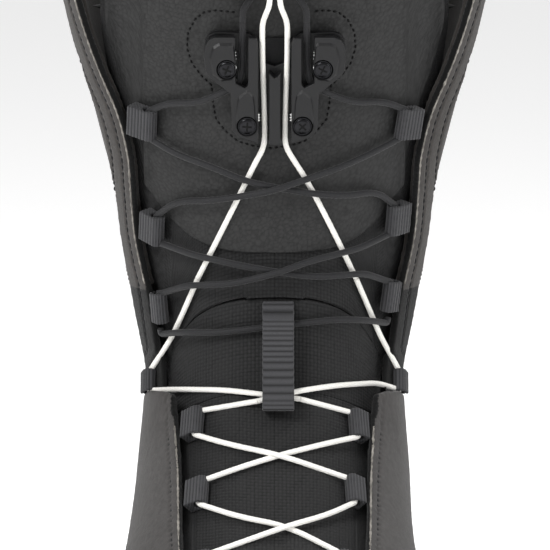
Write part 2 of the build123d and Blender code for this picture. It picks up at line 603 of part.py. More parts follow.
for side, f in (("left", lambda p: p), ("right", mir)):
    sg = -1 if side == "left" else 1
    c = flat(f(COVER), COV_N, COV_N + 2.2)
    c = c + flat([(sg * 20.8, 4.6), (sg * 21.8, 4.6), (sg * 21.6, 11.6), (sg * 20.8, 12.2)][::-sg], CH_N, COV_N)
    c = c + flat([(sg * 12.2, -15.0), (sg * 13.3, -15.0), (sg * 13.5, -6.5), (sg * 12.2, -6.5)][::-sg], CH_N, COV_N)
    for u, w in SCREWS:
        if u * sg > 0:
            c = c + Pos(u, w, (CH_N + COV_N) / 2) * Cylinder(2.2, COV_N - CH_N)
            c = c - Pos(u, w, 6) * Cylinder(1.3, 12)
            c = c - Pos(u, w, COV_N + 1.2 + 1.0) * Cylinder(3.05, 2.0)
    keep("lock_cover_" + side, LK * c)
spine = flat([(-1.75, 3.4), (-1.75, -20.2), (0, -20.8), (1.75, -20.2), (1.75, 3.4), (0.0, 1.6)], CH_N, COV_N + 1.4)
keep("lock_spine", LK * spine)
screws = []
for u, w in SCREWS:
    k = Pos(u, w, COV_N + 1.3 + 0.65) * Cylinder(2.85, 1.3) + Pos(u, w, (BASE_N + 0.2 + COV_N + 1.3) / 2) * Cylinder(1.2, COV_N + 1.1 - BASE_N)
    k = k - Pos(u, w, COV_N + 2.4) * Box(3.4, 0.9, 1.4) - Pos(u, w, COV_N + 2.4) * Box(0.9, 3.4, 1.4)
    screws.append(LK * k)
keep("lock_screws", *screws)
springs = []
for u, w in SCREWS:
    springs.append(LK * (Pos(u, w, 4.65) * (Cylinder(3.0, 0.5) - Cylinder(2.35, 2))))
keep("cam_springs", *springs)
CAM_PIV, CAM_TIP = {"upper": (-15.0, 5.1), "lower": (-8.7, -13.7)}, {"upper": (-11.95, 9.4), "lower": (-4.55, -11.2)}
for lvl in ("upper", "lower"):
    for side in ("left", "right"):
        sg = 1 if side == "left" else -1
        (pu, pw), (tu, tw) = CAM_PIV[lvl], CAM_TIP[lvl]
        ring_ = Pos(pu, pw, 5.85) * (Cylinder(3.05, 1.5) - Cylinder(2.5, 4))
        du, dw = tu - pu, tw - pw
        ln = math.hypot(du, dw)
        cu, cw = du / ln, dw / ln
        o = (pu + cu * 2.7, pw + cw * 2.7)
        teeth = [(tu, tw - 1.7), (tu - 0.55, tw - 1.1), (tu, tw - 0.7), (tu - 0.55, tw - 0.1), (tu, tw + 0.3), (tu - 0.9, tw + 0.9)]
        arm = [(o[0] - cw * 1.2, o[1] + cu * 1.2), (o[0] + cw * 1.2, o[1] - cu * 1.2)] + teeth
        cam = ring_ + (flat(arm, 5.1, 6.6) - Pos(pu, pw, 5.85) * Cylinder(2.8, 4))
        if side == "right":
            cam = mirror(cam, about=Plane.YZ)
        keep("cam_%s_%s" % (lvl, side), LK * cam)

# ---------------------------------------------------------------- handles above the lock
hp = frame_at(0, 299.0, 0.0)
HK = Plane(origin=hp.origin, x_dir=(1, 0, 0), z_dir=hp.z_dir)


def hk(u, w, n):
    return tuple(HK.from_local_coords(Vector(u, w, n)))


def grip(n0, half, holes):
    pts = [(-half + 4, -8), (half - 4, -8), (half, -3), (half, 5), (half - 3, 8), (-half + 3, 8), (-half, 5), (-half, -3)]
    b = flat(pts, n0, n0 + 5.4)
    b = fillet(b.edges().filter_by(lambda e: abs(e.center().Z - n0) < 0.01 or abs(e.center().Z - n0 - 5.4) < 0.01), 1.3)
    return HK * b


keep("pull_handle_black", grip(1.9, 18, 4.6))
keep("pull_handle_white", grip(8.2, 17, 1.6))
gar = Pos(0, 1, 8.0) * Box(44, 9, 15.4) - Pos(0, 1, 6.9) * Box(41.4, 12, 15.2)
keep("handle_garage", HK * gar)

# ---------------------------------------------------------------- laces
def T(rows, h):
    return [on_tongue(r[0], r[1], r[2] if len(r) > 2 else h) for r in rows]


def thr(key, reach=8.0, flip=False):
    pl, yc, zc = hole_at[key]
    t = through(pl, yc, zc, reach)
    return t[::-1] if flip else t


N_LACE = 5.7
hB = 4.8                        # black lace rides over the white
hX = 7.6                        # and over itself where its runs cross
bl_top = {sg: [lk(sg * 10.0, 19.5, N_LACE), lk(sg * 10.0, 13.0, N_LACE), lk(sg * 10.3, 4.0, N_LACE), lk(sg * 10.9, -0.6, N_LACE), lk(sg * 15.2, -3.4, N_LACE)] for sg in (-1, 1)}
left = bl_top[-1] + T([(-24.5, 250.4, 4.6), (-33.0, 250.3, 4.0)], 0) + thr("UL1") + T([(-31.6, 233.5, 4.0), (-20.6, 230.2), (-9.3, 225.6, 5.4), (0.2, 223.4), (14.4, 221.0), (24.0, 220.3, 4.8), (32.6, 221.0, 4.0)], hB) + thr("UR2") + T([(27.5, 202.8, 4.2), (20.2, 201.4), (11.3, 199.4), (0.2, 195.6, 6.9), (-13.8, 191.8, 4.4), (-23.4, 190.9, 4.4), (-28.0, 190.3, 4.6)], hB) + thr("UL3", 7.0)
right = bl_top[1] + T([(24.8, 250.6, 4.6), (34.4, 250.6, 4.0)], 0) + thr("UR1") + T([(31.5, 234.0, 4.0), (20.7, 229.6), (8.6, 225.6, 5.2), (-0.4, 222.7, 7.6), (-11.4, 220.4, 5.2), (-21.0, 218.8), (-31.4, 217.9, 4.0)], hB) + thr("UL2") + T([(-26.1, 200.6, 4.2), (-18.3, 199.4), (-9.3, 197.6, 4.2), (0.2, 195.9, 4.0), (13.0, 194.0, 4.2), (23.4, 194.3, 4.4), (29.0, 194.2, 4.6)], hB) + thr("UR3", 7.0)
keep("black_lace_leg", cord(left, BLACK_D), cord(right, BLACK_D))


def off(p, q, d):
    """p moved d towards q"""
    p, q = Vector(*p), Vector(*q)
    return tuple(p + (q - p).normalized() * d)


l3, r3 = hole_at["UL3"], hole_at["UR3"]
low3 = [[tuple(k[0].from_local_coords(Vector(-a, k[1], k[2]))) for a in (7.35, 9.2)] for k in (l3, r3)]
keep("black_lace_ankle", cord(low3[0] + T([(-28.8, 175.0, 5.0), (-18.0, 175.6, 3.2), (-6.0, 177.4), (7.0, 178.8), (19.0, 179.8, 3.2), (28.8, 179.0, 5.0)], 2.5) + low3[1][::-1], BLACK_D))
keep("black_pull_laces", *[cord([hk(sg * 5.0, -8.4, 4.6), hk(sg * 6.2, -12.0, 4.8), lk(sg * 9.9, 23.8, N_LACE), lk(sg * 10.0, 19.5, N_LACE)], BLACK_D) for sg in (-1, 1)])
keep("white_pull_laces", *[cord([hk(sg * 1.5, -8.4, 10.9), hk(sg * 1.6, -14.0, 10.6), lk(sg * 3.9, 19.5, 6.4), lk(sg * 3.9, 14.0, 6.4)], WHITE_D) for sg in (-1, 1)])

WAIST = 190.6                   # height where the white lace passes from the leg to the flexing part
for_leg, for_ankle = [], []
wl = [lk(-3.9, 14.0, 6.4), lk(-3.9, 9.5, 6.4), lk(-3.7, 2.0, N_LACE), lk(-3.3, -10.0, N_LACE), lk(-3.1, -21.5, N_LACE - 0.2)] + T([(-6.5, 230.5, 3.2), (-12.2, 218.2, 2.3), (-20.9, 200.2, 2.0), (-24.6, 192.4)], 1.7)
wr = [lk(3.9, 14.0, 6.4), lk(3.9, 9.5, 6.4), lk(3.7, 2.0, N_LACE), lk(3.3, -10.0, N_LACE), lk(3.1, -21.5, N_LACE - 0.2)] + T([(6.3, 231.8, 3.4), (9.7, 226.4, 2.5), (16.0, 214.2, 2.3), (21.9, 201.8, 2.0), (26.0, 192.6)], 1.7)
keep("white_lace_leg", cord(wl, WHITE_D), cord(wr, WHITE_D))
kA = T([(-30.0, 155.4, 3.4), (-20.6, 157.2), (-11.0, 157.9), (-4.0, 157.7, 2.6), (1.4, 157.3, 2.0), (7.0, 156.2, 1.7)], 1.8)
kB = T([(30.0, 155.9, 3.4), (22.2, 158.5), (13.5, 159.3), (6.8, 159.0, 3.6), (1.4, 157.6, 4.2), (-4.4, 156.4, 3.6)], 1.8)
la = [off(wl[-1], on_tongue(-29.0, 181.5, 1.6), 0.4)] + T([(-29.0, 181.5, 1.6), (-31.6, 175.3, 1.2), (-34.0, 170.2, 2.2)], 0) + [on_skin(-36.0, 166.0, 3.7)] + thr("AL", 5.8) + kA
lb = [off(wr[-1], on_tongue(29.3, 184.5, 1.6), 0.4)] + T([(29.3, 184.5, 1.6), (32.0, 177.6, 1.3), (34.2, 172.0, 3.2)], 0) + [on_skin(36.0, 166.6, 3.7)] + thr("AR", 5.8) + kB
keep("white_lace_ankle", cord(la, WHITE_D), cord(lb, WHITE_D))
hi = 3.9
fa = [off(kA[-1], on_tongue(15.5, 154.0, 1.8), 0.4)] + T([(15.5, 154.0), (21.5, 152.9, 2.4)], 1.8) + thr("LR1", 7.8) + T([(17.5, 139.2, 2.6), (9.6, 141.4), (1.2, 140.8), (-6.1, 138.3), (-14.6, 134.6, 2.6)], 1.7) + thr("LL2", 7.8) + T([(-13.3, 119.8, 2.6), (-3.0, 121.6), (3.3, 121.0), (11.5, 117.8), (17.6, 115.4, 2.8)], 1.7) + thr("LR3", 7.8) + T([(14.4, 99.8, 2.6)], 1.7)
fb = [off(kB[-1], on_tongue(-11.5, 154.0, 1.8), 0.4)] + T([(-11.5, 154.0), (-17.9, 152.9, 2.4)], 1.8) + thr("LL1", 7.8) + T([(-15.6, 139.2, 2.6), (-6.1, 141.5, 3.0), (1.2, 140.8, hi), (10.1, 137.4, 3.0), (16.6, 134.6, 2.6)], 1.7) + thr("LR2", 7.8) + T([(15.3, 119.8, 2.6), (7.4, 122.0, 3.0), (0.2, 121.0, hi), (-8.6, 117.2, 3.0), (-15.0, 115.2, 2.8)], 1.7) + thr("LL3", 7.8) + T([(-13.4, 99.6, 2.6)], 1.7)
guide = [tuple(gp.from_local_coords(Vector(0, a, 2.4))) for a in (9.5, -9.5)]
if (Vector(*guide[0]) - Vector(*fa[-1])).length > (Vector(*guide[1]) - Vector(*fa[-1])).length:
    guide = guide[::-1]
keep("white_lace_foot", cord(fa + guide + fb[::-1], WHITE_D))

# ---------------------------------------------------------------- tongue keeper
def keeper_profile():
    k = 1.2
    outer = [(185.8, 1.7), (183.6, 3.2), (180.8, 7.2), (175.0, 7.6), (168.0, 7.2), (162.0, 7.5), (157.2, 7.3), (154.1, 5.2), (153.4, 2.6), (154.2, 0.35)]
    inner = [(155.2, 0.35), (154.8, 1.0), (154.6, 2.6), (155.2, 4.8), (157.8, 6.0), (162.0, 6.2), (168.0, 5.8), (175.0, 6.2), (180.2, 5.8), (182.4, 2.2), (185.8, 0.35)]
    return [on_tongue(k, z, h)[1:] for z, h in outer + inner]


kw = Wire.make_polygon([Vector(-3.8, y, z) for y, z in keeper_profile()], close=True)
keep("tongue_keeper", Solid.extrude(Face(kw), Vector(10.0, 0, 0)))

# ---------------------------------------------------------------- rear pull loop
def back_y(z):
    return BACK(z)


rl_o = [(back_y(250) + 2.2, 250), (back_y(254) + 4.2, 254), (back_y(258) + 12, 261), (back_y(268) + 14.0, 270), (back_y(276) + 13.0, 278), (back_y(283) + 7.5, 284.5), (back_y(284) + 1.6, 286.6), (back_y(284) + 1.3, 284.6)]
rl_i = [(back_y(281) + 6.6, 282.4), (back_y(276) + 11.2, 277.4), (back_y(268) + 12.2, 270), (back_y(262) + 10.4, 262), (back_y(257) + 2.6, 257.2), (back_y(256) + 2.2, 257.0)]
keep("rear_pull_loop", prism_x([(y, z) for y, z in rl_o + rl_i], -10.0, 10.0))

# ---------------------------------------------------------------- liner
LZ = [40.8, 47, 54, 61, 67, 72, 77, 82, 88, 95, 104, 114, 126, 138, 150, 161, 173, 188, 208, 232, 262, 300]
liner = tube(LINER_D, LINER_D + LINER_T, LZ, floor=3.0)
ys = [-170, -60, -40, -25, -10, 5, 20, 35, 45, 52, 58, 64, 70, 80, 110, 160]


def above(curve, k, top=340.0):
    return prism_x([(y, curve(y) + k if y > -60 else 300.0) for y in ys] + [(160, top), (-170, top)])


def below(curve, k):
    return prism_x([(y, curve(y) + k if y > -60 else 300.0) for y in ys] + [(160, 10), (-170, 10)])


keep("liner_foot", liner.intersect(below(FOOT_TOP, 0.0)))
band = [(y, FOOT_TOP(y) + 0.4) for y in ys if y > -60] + [(y, CUFF_BOT(y) - 0.4) for y in reversed(ys) if y > -60]
lf = liner.intersect(prism_x(band))
keep("liner_flex", *(lf.solids() if hasattr(lf, "solids") else lf))
q_li = {s_: table(lambda z, s_=s_: q_at_x(40.5 + max(0, z - 200) * 0.04, z, s_), 120, 330) for s_ in (1, -1)}
for s_, side in ((1, "right"), (-1, "left")):
    wing = skin_panel(lambda z: s_ * q_li[s_](z), lambda z: s_ * 0.9985, lambda y: CUFF_BOT(y) - 14.0, lambda y: 300.5 - 13.0 * smooth(0, 118, y), LINER_D, LINER_D + LINER_T, 30, 20)
    keep("liner_cuff", wing.intersect(above(CUFF_BOT, 0.3)))
qlt = {s_: table(lambda z, s_=s_: q_at_x(28.0, z, s_), 150, 330) for s_ in (1, -1)}
keep("liner_tongue", skin_panel(lambda z: -qlt[-1](z), lambda z: qlt[1](z), lambda y: ray_z(y, CUFF_RAY) + 3.0, lambda y: 311.0 - 6 * smooth(-20, 0, y), lambda q, z: TONGUE_D(q, z) + TONGUE_T(q, z) + 0.7, lambda q, z: 14.0, 20, 20))
yl = BACK(287) - LINER_D - LINER_T / 2 - 0.4
loop_ = Pos(0, yl, 289.2 + 4.5) * (Box(20, 4.4, 9.0) - Box(16.6, 8, 12)) + Pos(0, yl, 298.2) * Rotation(90, 0, 0) * (Cylinder(10, 4.4) - Cylinder(8.3, 8)) - Pos(0, yl, 293.2) * Box(16.6, 8, 10)
loop_ = loop_ - Pos(0, yl, 283.0) * Box(40, 40, 12.2)
keep("liner_pull_loop", loop_)
fb_w = Wire([Edge.make_spline([Vector(x, y, 44.4) for x, y in layer(50, LINER_D + LINER_T + 1.6, 32)], periodic=True)])
keep("footbed", Solid.extrude(Face(fb_w), Vector(0, 0, 4.6)))


big = None
for name, solids in NODES.items():
    moved = [Pos(*OFFSET) * s for s in solids]
    ok = all(s.is_valid for s in moved)
    c = moved[0] if len(moved) == 1 else Compound(children=moved)
    bb = c.bounding_box()
    big = bb if big is None else big.add(bb)
    print("%-24s %2d vol %9.1f %s x %.1f..%.1f y %.1f..%.1f z %.1f..%.1f" % (name, len(moved), sum(s.volume for s in moved), "" if ok else "INVALID", bb.min.X, bb.max.X, bb.min.Y, bb.max.Y, bb.min.Z, bb.max.Z))
    export_step(c, "parts/%s.step" % name)
print("box", big.min, big.max)
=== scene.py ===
import bpy, math, json
import numpy as np
from mathutils import Vector, Matrix
from mathutils.bvhtree import BVHTree
from mathutils.kdtree import KDTree


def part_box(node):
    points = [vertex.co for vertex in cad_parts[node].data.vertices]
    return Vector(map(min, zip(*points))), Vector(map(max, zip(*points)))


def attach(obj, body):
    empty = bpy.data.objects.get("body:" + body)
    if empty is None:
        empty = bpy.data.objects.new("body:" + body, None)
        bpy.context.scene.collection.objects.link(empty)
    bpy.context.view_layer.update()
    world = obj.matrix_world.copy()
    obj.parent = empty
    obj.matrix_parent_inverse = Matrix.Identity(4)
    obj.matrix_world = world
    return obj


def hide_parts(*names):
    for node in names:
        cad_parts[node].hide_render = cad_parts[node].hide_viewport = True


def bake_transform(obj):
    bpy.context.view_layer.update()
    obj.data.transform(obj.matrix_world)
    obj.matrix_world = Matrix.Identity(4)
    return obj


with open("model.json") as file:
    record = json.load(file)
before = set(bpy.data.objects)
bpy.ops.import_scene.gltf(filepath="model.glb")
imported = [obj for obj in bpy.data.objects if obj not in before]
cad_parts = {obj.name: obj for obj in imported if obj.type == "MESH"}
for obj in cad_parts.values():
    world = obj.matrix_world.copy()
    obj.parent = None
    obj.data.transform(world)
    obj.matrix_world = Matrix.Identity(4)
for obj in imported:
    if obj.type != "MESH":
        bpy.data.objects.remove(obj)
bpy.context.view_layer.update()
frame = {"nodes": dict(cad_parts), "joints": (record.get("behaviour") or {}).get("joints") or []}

N = frame["nodes"]
MM = 0.001
COL = bpy.context.scene.collection


# ------------------------------------------------------------------ numbers
def hash3(i, j, k, seed=0):
    i, j, k = [a.astype(np.int64) for a in (i, j, k)]
    h = (i * 374761393 + j * 668265263 + k * 1103515245 + seed * 1274126177) & 0xffffffff
    h = ((h ^ (h >> 13)) * 1274126177) & 0xffffffff
    h = ((h ^ (h >> 15)) * 668265263) & 0xffffffff
    return (h ^ (h >> 16)) / 4294967295.0


def vnoise(p, pitch, seed=0):
    """smooth noise 0..1; p in metres, pitch in mm"""
    q = p / (pitch * MM)
    f = np.floor(q)
    t = q - f
    t = t * t * (3 - 2 * t)
    out = 0
    for a in (0, 1):
        for b in (0, 1):
            for c in (0, 1):
                w = (t[:, 0] if a else 1 - t[:, 0]) * (t[:, 1] if b else 1 - t[:, 1]) * (t[:, 2] if c else 1 - t[:, 2])
                out = out + w * hash3(f[:, 0] + a, f[:, 1] + b, f[:, 2] + c, seed)
    return out


def fbm(p, pitch, seed=0, octaves=3):
    s, a, tot = 0, 1.0, 0
    for o in range(octaves):
        s = s + a * vnoise(p, pitch / 2 ** o, seed + o)
        tot += a
        a *= 0.5
    return s / tot


def pebble(p, pitch, seed=0):
    """0 in the creases, 1 on the grains of pebbled leather"""
    q = p / (pitch * MM)
    q = q + 0.35 * (np.stack([vnoise(p, pitch * 1.7, seed + 11 + k) for k in range(3)], 1) - 0.5)
    f = np.floor(q)
    d1 = np.full(len(q), 9.0)
    d2 = np.full(len(q), 9.0)
    for a in (-1, 0, 1):
        for b in (-1, 0, 1):
            for c in (-1, 0, 1):
                g = f + np.array([a, b, c])
                pt = g + np.stack([hash3(g[:, 0], g[:, 1], g[:, 2], seed + k) for k in (1, 2, 3)], 1)
                d = np.sqrt(((q - pt) ** 2).sum(1))
                m = d < d1
                d2 = np.where(m, d1, np.minimum(d2, d))
                d1 = np.where(m, d, d1)
    return np.clip((d2 - d1) / 0.32, 0, 1) ** 0.6


def smooth(a, b, t):
    t = np.clip((t - a) / (b - a), 0, 1)
    return t * t * (3 - 2 * t)


# ------------------------------------------------------------------ meshes
def coords(m):
    co = np.empty(len(m.vertices) * 3, np.float32)
    m.vertices.foreach_get("co", co)
    return co.reshape(-1, 3).astype(float)


def normals(m):
    n = np.empty(len(m.vertices) * 3, np.float32)
    m.vertex_normals.foreach_get("vector", n)
    return n.reshape(-1, 3).astype(float)


def put(m, co):
    m.vertices.foreach_set("co", co.astype(np.float32).ravel())
    m.update()


def tint(m, v):
    """stores 0..1 per vertex for the material to paint shade into creases and light onto tops with"""
    at = m.color_attributes.get("hollow_shade") or m.color_attributes.new("hollow_shade", "FLOAT_COLOR", "POINT")
    c = np.ones((len(m.vertices), 4), np.float32)
    c[:, :3] = np.clip(v, 0, 1)[:, None]
    at.data.foreach_set("color", c.ravel())


def new_obj(name, mesh, material=None, body=None, shade=True):
    o = bpy.data.objects.new(name, mesh)
    COL.objects.link(o)
    if material:
        mesh.materials.clear()
        mesh.materials.append(material)
    if shade:
        mesh.polygons.foreach_set("use_smooth", [True] * len(mesh.polygons))
    if body:
        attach(o, body)
    return o


def baked(o):
    dg = bpy.context.evaluated_depsgraph_get()
    dg.update()
    m = bpy.data.meshes.new_from_object(o.evaluated_get(dg))
    return m


def remeshed(nodes, size, smooth_it=4, weld=True):
    """a fine even skin over CAD nodes, size in mm"""
    if isinstance(nodes, str):
        nodes = [nodes]
    out = []
    for n in nodes:
        c = bpy.data.objects.new("tmp", N[n].data.copy())
        COL.objects.link(c)
        w = c.modifiers.new("w", "WELD")
        w.merge_threshold = 1e-6
        r = c.modifiers.new("r", "REMESH")
        r.mode = "VOXEL"
        r.voxel_size = size * MM
        r.use_smooth_shade = True
        if smooth_it:
            s = c.modifiers.new("s", "SMOOTH")
            s.factor = 0.5
            s.iterations = smooth_it
        out.append(baked(c))
        bpy.data.objects.remove(c)
    if len(out) == 1:
        return out[0]
    return joined(out)


def joined(ms):
    vs, fs, k = [], [], 0
    for m in ms:
        vs.append(coords(m))
        fs += [[a + k for a in p.vertices] for p in m.polygons]
        k += len(m.vertices)
    o = bpy.data.meshes.new("j")
    o.from_pydata(np.concatenate(vs).tolist(), [], fs)
    return o


TREES = {}


def tree(nodes):
    key = tuple(nodes)
    if key not in TREES:
        vs, fs, k = [], [], 0
        for n in nodes:
            m = N[n].data
            vs += [v.co.copy() for v in m.vertices]
            fs += [[a + k for a in p.vertices] for p in m.polygons]
            k = len(vs)
        TREES[key] = BVHTree.FromPolygons(vs, fs)
    return TREES[key]


def front(nodes, x, z):
    """first point of the nodes met going back along +Y, and its outward normal; x, z in mm"""
    h = tree(nodes).ray_cast(Vector((x * MM, -0.3, z * MM)), Vector((0, 1, 0)))
    if h[0] is None:
        return None
    n = h[1].normalized()
    if n.y > 0:
        n = -n
    return h[0], n


def mesh_tree(m):
    return BVHTree.FromPolygons([v.co.copy() for v in m.vertices], [tuple(p.vertices) for p in m.polygons])


def edge_x(nodes, z, x0, x1, step=0.5):
    """where the nodes first start going from x0 to x1 at height z, in mm"""
    n = int(abs(x1 - x0) / step)
    last = None
    for i in range(n + 1):
        x = x0 + (x1 - x0) * i / n
        if front(nodes, x, z):
            a, b = (last if last is not None else x), x
            for _ in range(8):
                c = (a + b) / 2
                if front(nodes, c, z):
                    b = c
                else:
                    a = c
            return b
        last = x
    return None


def sheet(node, step, thick, disp, dz=None, trim=0.0):
    """a fine sheet following the front of a CAD node, columns of constant x; disp(P, n) gives the height in mm and the
    painted shade of the hollows
    """
    lo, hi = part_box(node)
    x0, x1 = lo.x / MM + 0.15, hi.x / MM - 0.15
    z0, z1 = lo.z / MM, hi.z / MM
    nx = max(8, int((x1 - x0) / step))
    cols = []
    for i in range(nx + 1):
        x = x0 + (x1 - x0) * i / nx
        zs = [z0 + (z1 - z0) * k / 160 for k in range(161)]
        hit = [bool(front([node], x, z)) for z in zs]
        if not any(hit):
            cols.append(None)
            continue
        a = hit.index(True)
        b = 160 - hit[::-1].index(True)
        za, zb = zs[a], zs[b]
        if a > 0:
            p, q = zs[a - 1], zs[a]
            for _ in range(9):
                c = (p + q) / 2
                if front([node], x, c):
                    q = c
                else:
                    p = c
            za = q
        if b < 160:
            p, q = zs[b], zs[b + 1]
            for _ in range(9):
                c = (p + q) / 2
                if front([node], x, c):
                    p = c
                else:
                    q = c
            zb = p
        cols.append((x, za, zb))
    keep = [c for c in cols if c and c[2] - c[1] > 1.0]
    nz = max(6, int((max(c[2] - c[1] for c in keep)) / step))
    P = np.zeros((len(keep), nz + 1, 3))
    for i, (x, za, zb) in enumerate(keep):
        prev = None
        for k in range(nz + 1):
            z = za + (zb - za) * k / nz
            h = front([node], x, z)
            if h is None:
                h = (prev + Vector((0, 0, (zb - za) / nz * MM)),) if prev else (Vector((x * MM, lo.y, z * MM)),)
            P[i, k] = h[0]
            prev = h[0]
    # even out the columns, then smooth along z and x so that facets of the CAD don't show
    for _ in range(6):
        Q = P.copy()
        Q[1:-1, :, 1] = (P[:-2, :, 1] + 2 * P[1:-1, :, 1] + P[2:, :, 1]) / 4
        P = Q.copy()
        Q[:, 1:-1, 1] = (P[:, :-2, 1] + 2 * P[:, 1:-1, 1] + P[:, 2:, 1]) / 4
        P = Q
    du = np.gradient(P, axis=0)
    dv = np.gradient(P, axis=1)
    n = np.cross(du, dv)
    n /= np.linalg.norm(n, axis=2, keepdims=True) + 1e-12
    if n[..., 1].mean() > 0:
        n = -n
    # length along the sheet, for weaves
    sx = np.cumsum(np.linalg.norm(du, axis=2), axis=0) / MM
    sz = np.cumsum(np.linalg.norm(dv, axis=2), axis=1) / MM
    mid = len(keep) // 2
    sx -= sx[mid:mid + 1, :]
    flat = P.reshape(-1, 3)
    h, t = disp(flat, sx.ravel(), sz.ravel())
    out = flat + n.reshape(-1, 3) * (h * MM)[:, None]
    back = flat - n.reshape(-1, 3) * (thick * MM)
    a, b = len(keep), nz + 1
    idx = np.arange(a * b).reshape(a, b)
    fs = []
    q = np.stack([idx[:-1, :-1], idx[1:, :-1], idx[1:, 1:], idx[:-1, 1:]], -1).reshape(-1, 4)
    fs += q.tolist()
    # coarse back so the piece is closed
    m = a * b
    fs += (q[:, ::-1] + m).tolist()
    ring = list(idx[:, 0]) + list(idx[-1, 1:]) + list(idx[::-1, -1][1:]) + list(idx[0, ::-1][1:])
    for i in range(len(ring) - 1):
        fs.append([int(ring[i + 1]), int(ring[i]), int(ring[i]) + m, int(ring[i + 1]) + m])
    me = bpy.data.meshes.new(node + "_sheet")
    me.from_pydata(np.concatenate([out, back]).tolist(), [], fs)
    tint(me, np.concatenate([t, np.full(len(t), 0.5)]))
    return me


# ------------------------------------------------------------------ materials
def M(name, base, rough=0.6, spec=0.5, metal=0.0, sheen=0.0, coat=0.0, spread=0.0, spread_scale=400.0, bump=0.0, bump_scale=1500.0, bump_kind="noise",
      crease_shade=0.0, blotch=0.0, blotch_scale=30.0, rough_var=0.0, wear=0.0):
    """one procedural material: base colour with fine and broad variation, painted shade in the creases and painted
    light on the tops from the mesh, bump texture
    """
    m = bpy.data.materials.new(name)
    m.use_nodes = True
    nt = m.node_tree
    nt.nodes.clear()
    out = nt.nodes.new("ShaderNodeOutputMaterial")
    b = nt.nodes.new("ShaderNodeBsdfPrincipled")
    nt.links.new(b.outputs[0], out.inputs[0])
    b.inputs["Roughness"].default_value = rough
    b.inputs["Metallic"].default_value = metal
    b.inputs["Specular IOR Level"].default_value = spec * (1.0 if metal else 0.55)
    b.inputs["Sheen Weight"].default_value = sheen
    b.inputs["Sheen Roughness"].default_value = 0.5
    b.inputs["Coat Weight"].default_value = coat
    b.inputs["Coat Roughness"].default_value = 0.3
    tc = nt.nodes.new("ShaderNodeTexCoord")

    def noise(scale, detail=3.0, rough_=0.6):
        n = nt.nodes.new("ShaderNodeTexNoise")
        n.inputs["Scale"].default_value = scale
        n.inputs["Detail"].default_value = detail
        n.inputs["Roughness"].default_value = rough_
        nt.links.new(tc.outputs["Object"], n.inputs["Vector"])
        return n

    def ramp(src, lo, hi, a, c):
        r = nt.nodes.new("ShaderNodeMapRange")
        nt.links.new(src, r.inputs["Value"])
        for k, v in (("From Min", lo), ("From Max", hi), ("To Min", a), ("To Max", c)):
            r.inputs[k].default_value = v
        return r.outputs[0]

    def mul(a, c):
        k = nt.nodes.new("ShaderNodeMath")
        k.operation = "MULTIPLY"
        nt.links.new(a, k.inputs[0])
        nt.links.new(c, k.inputs[1])
        return k.outputs[0]

    fac = None
    if spread:
        fac = ramp(noise(spread_scale, 4).outputs["Fac"], 0.3, 0.7, 1 - spread, 1 + spread)
    if blotch:
        f = ramp(noise(blotch_scale, 3).outputs["Fac"], 0.3, 0.7, 1 - blotch, 1 + blotch)
        fac = mul(fac, f) if fac else f
    # painted shade and light: the per-vertex hollow value darkens the base colour in hollows and lightens it on tops
    if crease_shade:
        at = nt.nodes.new("ShaderNodeAttribute")
        at.attribute_name = "hollow_shade"
        f = ramp(at.outputs["Fac"], 0.0, 1.0, 1 - crease_shade, 1 + crease_shade * 0.6)
        fac = mul(fac, f) if fac else f
    if fac is None:
        fac = ramp(noise(300, 2).outputs["Fac"], 0.3, 0.7, 0.97, 1.03)
    vm = nt.nodes.new("ShaderNodeVectorMath")
    vm.operation = "SCALE"
    vm.inputs[0].default_value = base
    nt.links.new(fac, vm.inputs["Scale"])
    nt.links.new(vm.outputs[0], b.inputs["Base Color"])
    if rough_var:
        nt.links.new(ramp(noise(spread_scale * 0.4, 3).outputs["Fac"], 0.3, 0.7, rough - rough_var, rough + rough_var), b.inputs["Roughness"])
    if bump:
        bm = nt.nodes.new("ShaderNodeBump")
        bm.inputs["Strength"].default_value = bump
        bm.inputs["Distance"].default_value = 0.0003
        if bump_kind == "noise":
            src = noise(bump_scale, 5, 0.65).outputs["Fac"]
        else:
            v = nt.nodes.new("ShaderNodeTexVoronoi")
            v.inputs["Scale"].default_value = bump_scale
            nt.links.new(tc.outputs["Object"], v.inputs["Vector"])
            src = v.outputs["Distance"]
        nt.links.new(src, bm.inputs["Height"])
        nt.links.new(bm.outputs[0], b.inputs["Normal"])
    return m


def lin(r, g, b):
    return tuple(((c / 255.0 + 0.055) / 1.055) ** 2.4 if c > 10 else c / 255.0 / 12.92 for c in (r, g, b))


NUBUCK = M("nubuck_grey", lin(62, 59, 57), 0.82, 0.25, sheen=0.15, spread=0.10, spread_scale=900, blotch=0.06, blotch_scale=25, bump=0.5, bump_scale=2200, crease_shade=0.35)
NUBUCK_LOW = M("nubuck_light", lin(68, 66, 65), 0.80, 0.25, sheen=0.15, spread=0.10, spread_scale=900, blotch=0.05, blotch_scale=25, bump=0.5, bump_scale=2200, crease_shade=0.35)
NUBUCK_DARK = M("nubuck_dark", lin(32, 31, 31), 0.82, 0.25, sheen=0.1, spread=0.10, spread_scale=900, blotch=0.06, bump=0.5, bump_scale=2200, crease_shade=0.35)
LEATHER = M("pebble_leather", lin(40, 40, 40), 0.52, 0.45, spread=0.07, spread_scale=700, blotch=0.05, bump=0.25, bump_scale=3500, crease_shade=0.55, rough_var=0.06)
MESH = M("ballistic_mesh", lin(30, 30, 30.5), 0.65, 0.4, sheen=0.1, spread=0.12, spread_scale=1500, bump=0.35, bump_scale=6000, crease_shade=0.97)
GUSSET = M("gusset_cloth", lin(18, 18, 18), 0.8, 0.2, sheen=0.1, spread=0.08, spread_scale=1200, bump=0.4, bump_scale=4000, crease_shade=0.4)
WEB = M("ribbed_webbing", lin(54, 54, 56), 0.6, 0.4, sheen=0.15, spread=0.12, spread_scale=2500, bump=0.4, bump_scale=7000, crease_shade=0.92)
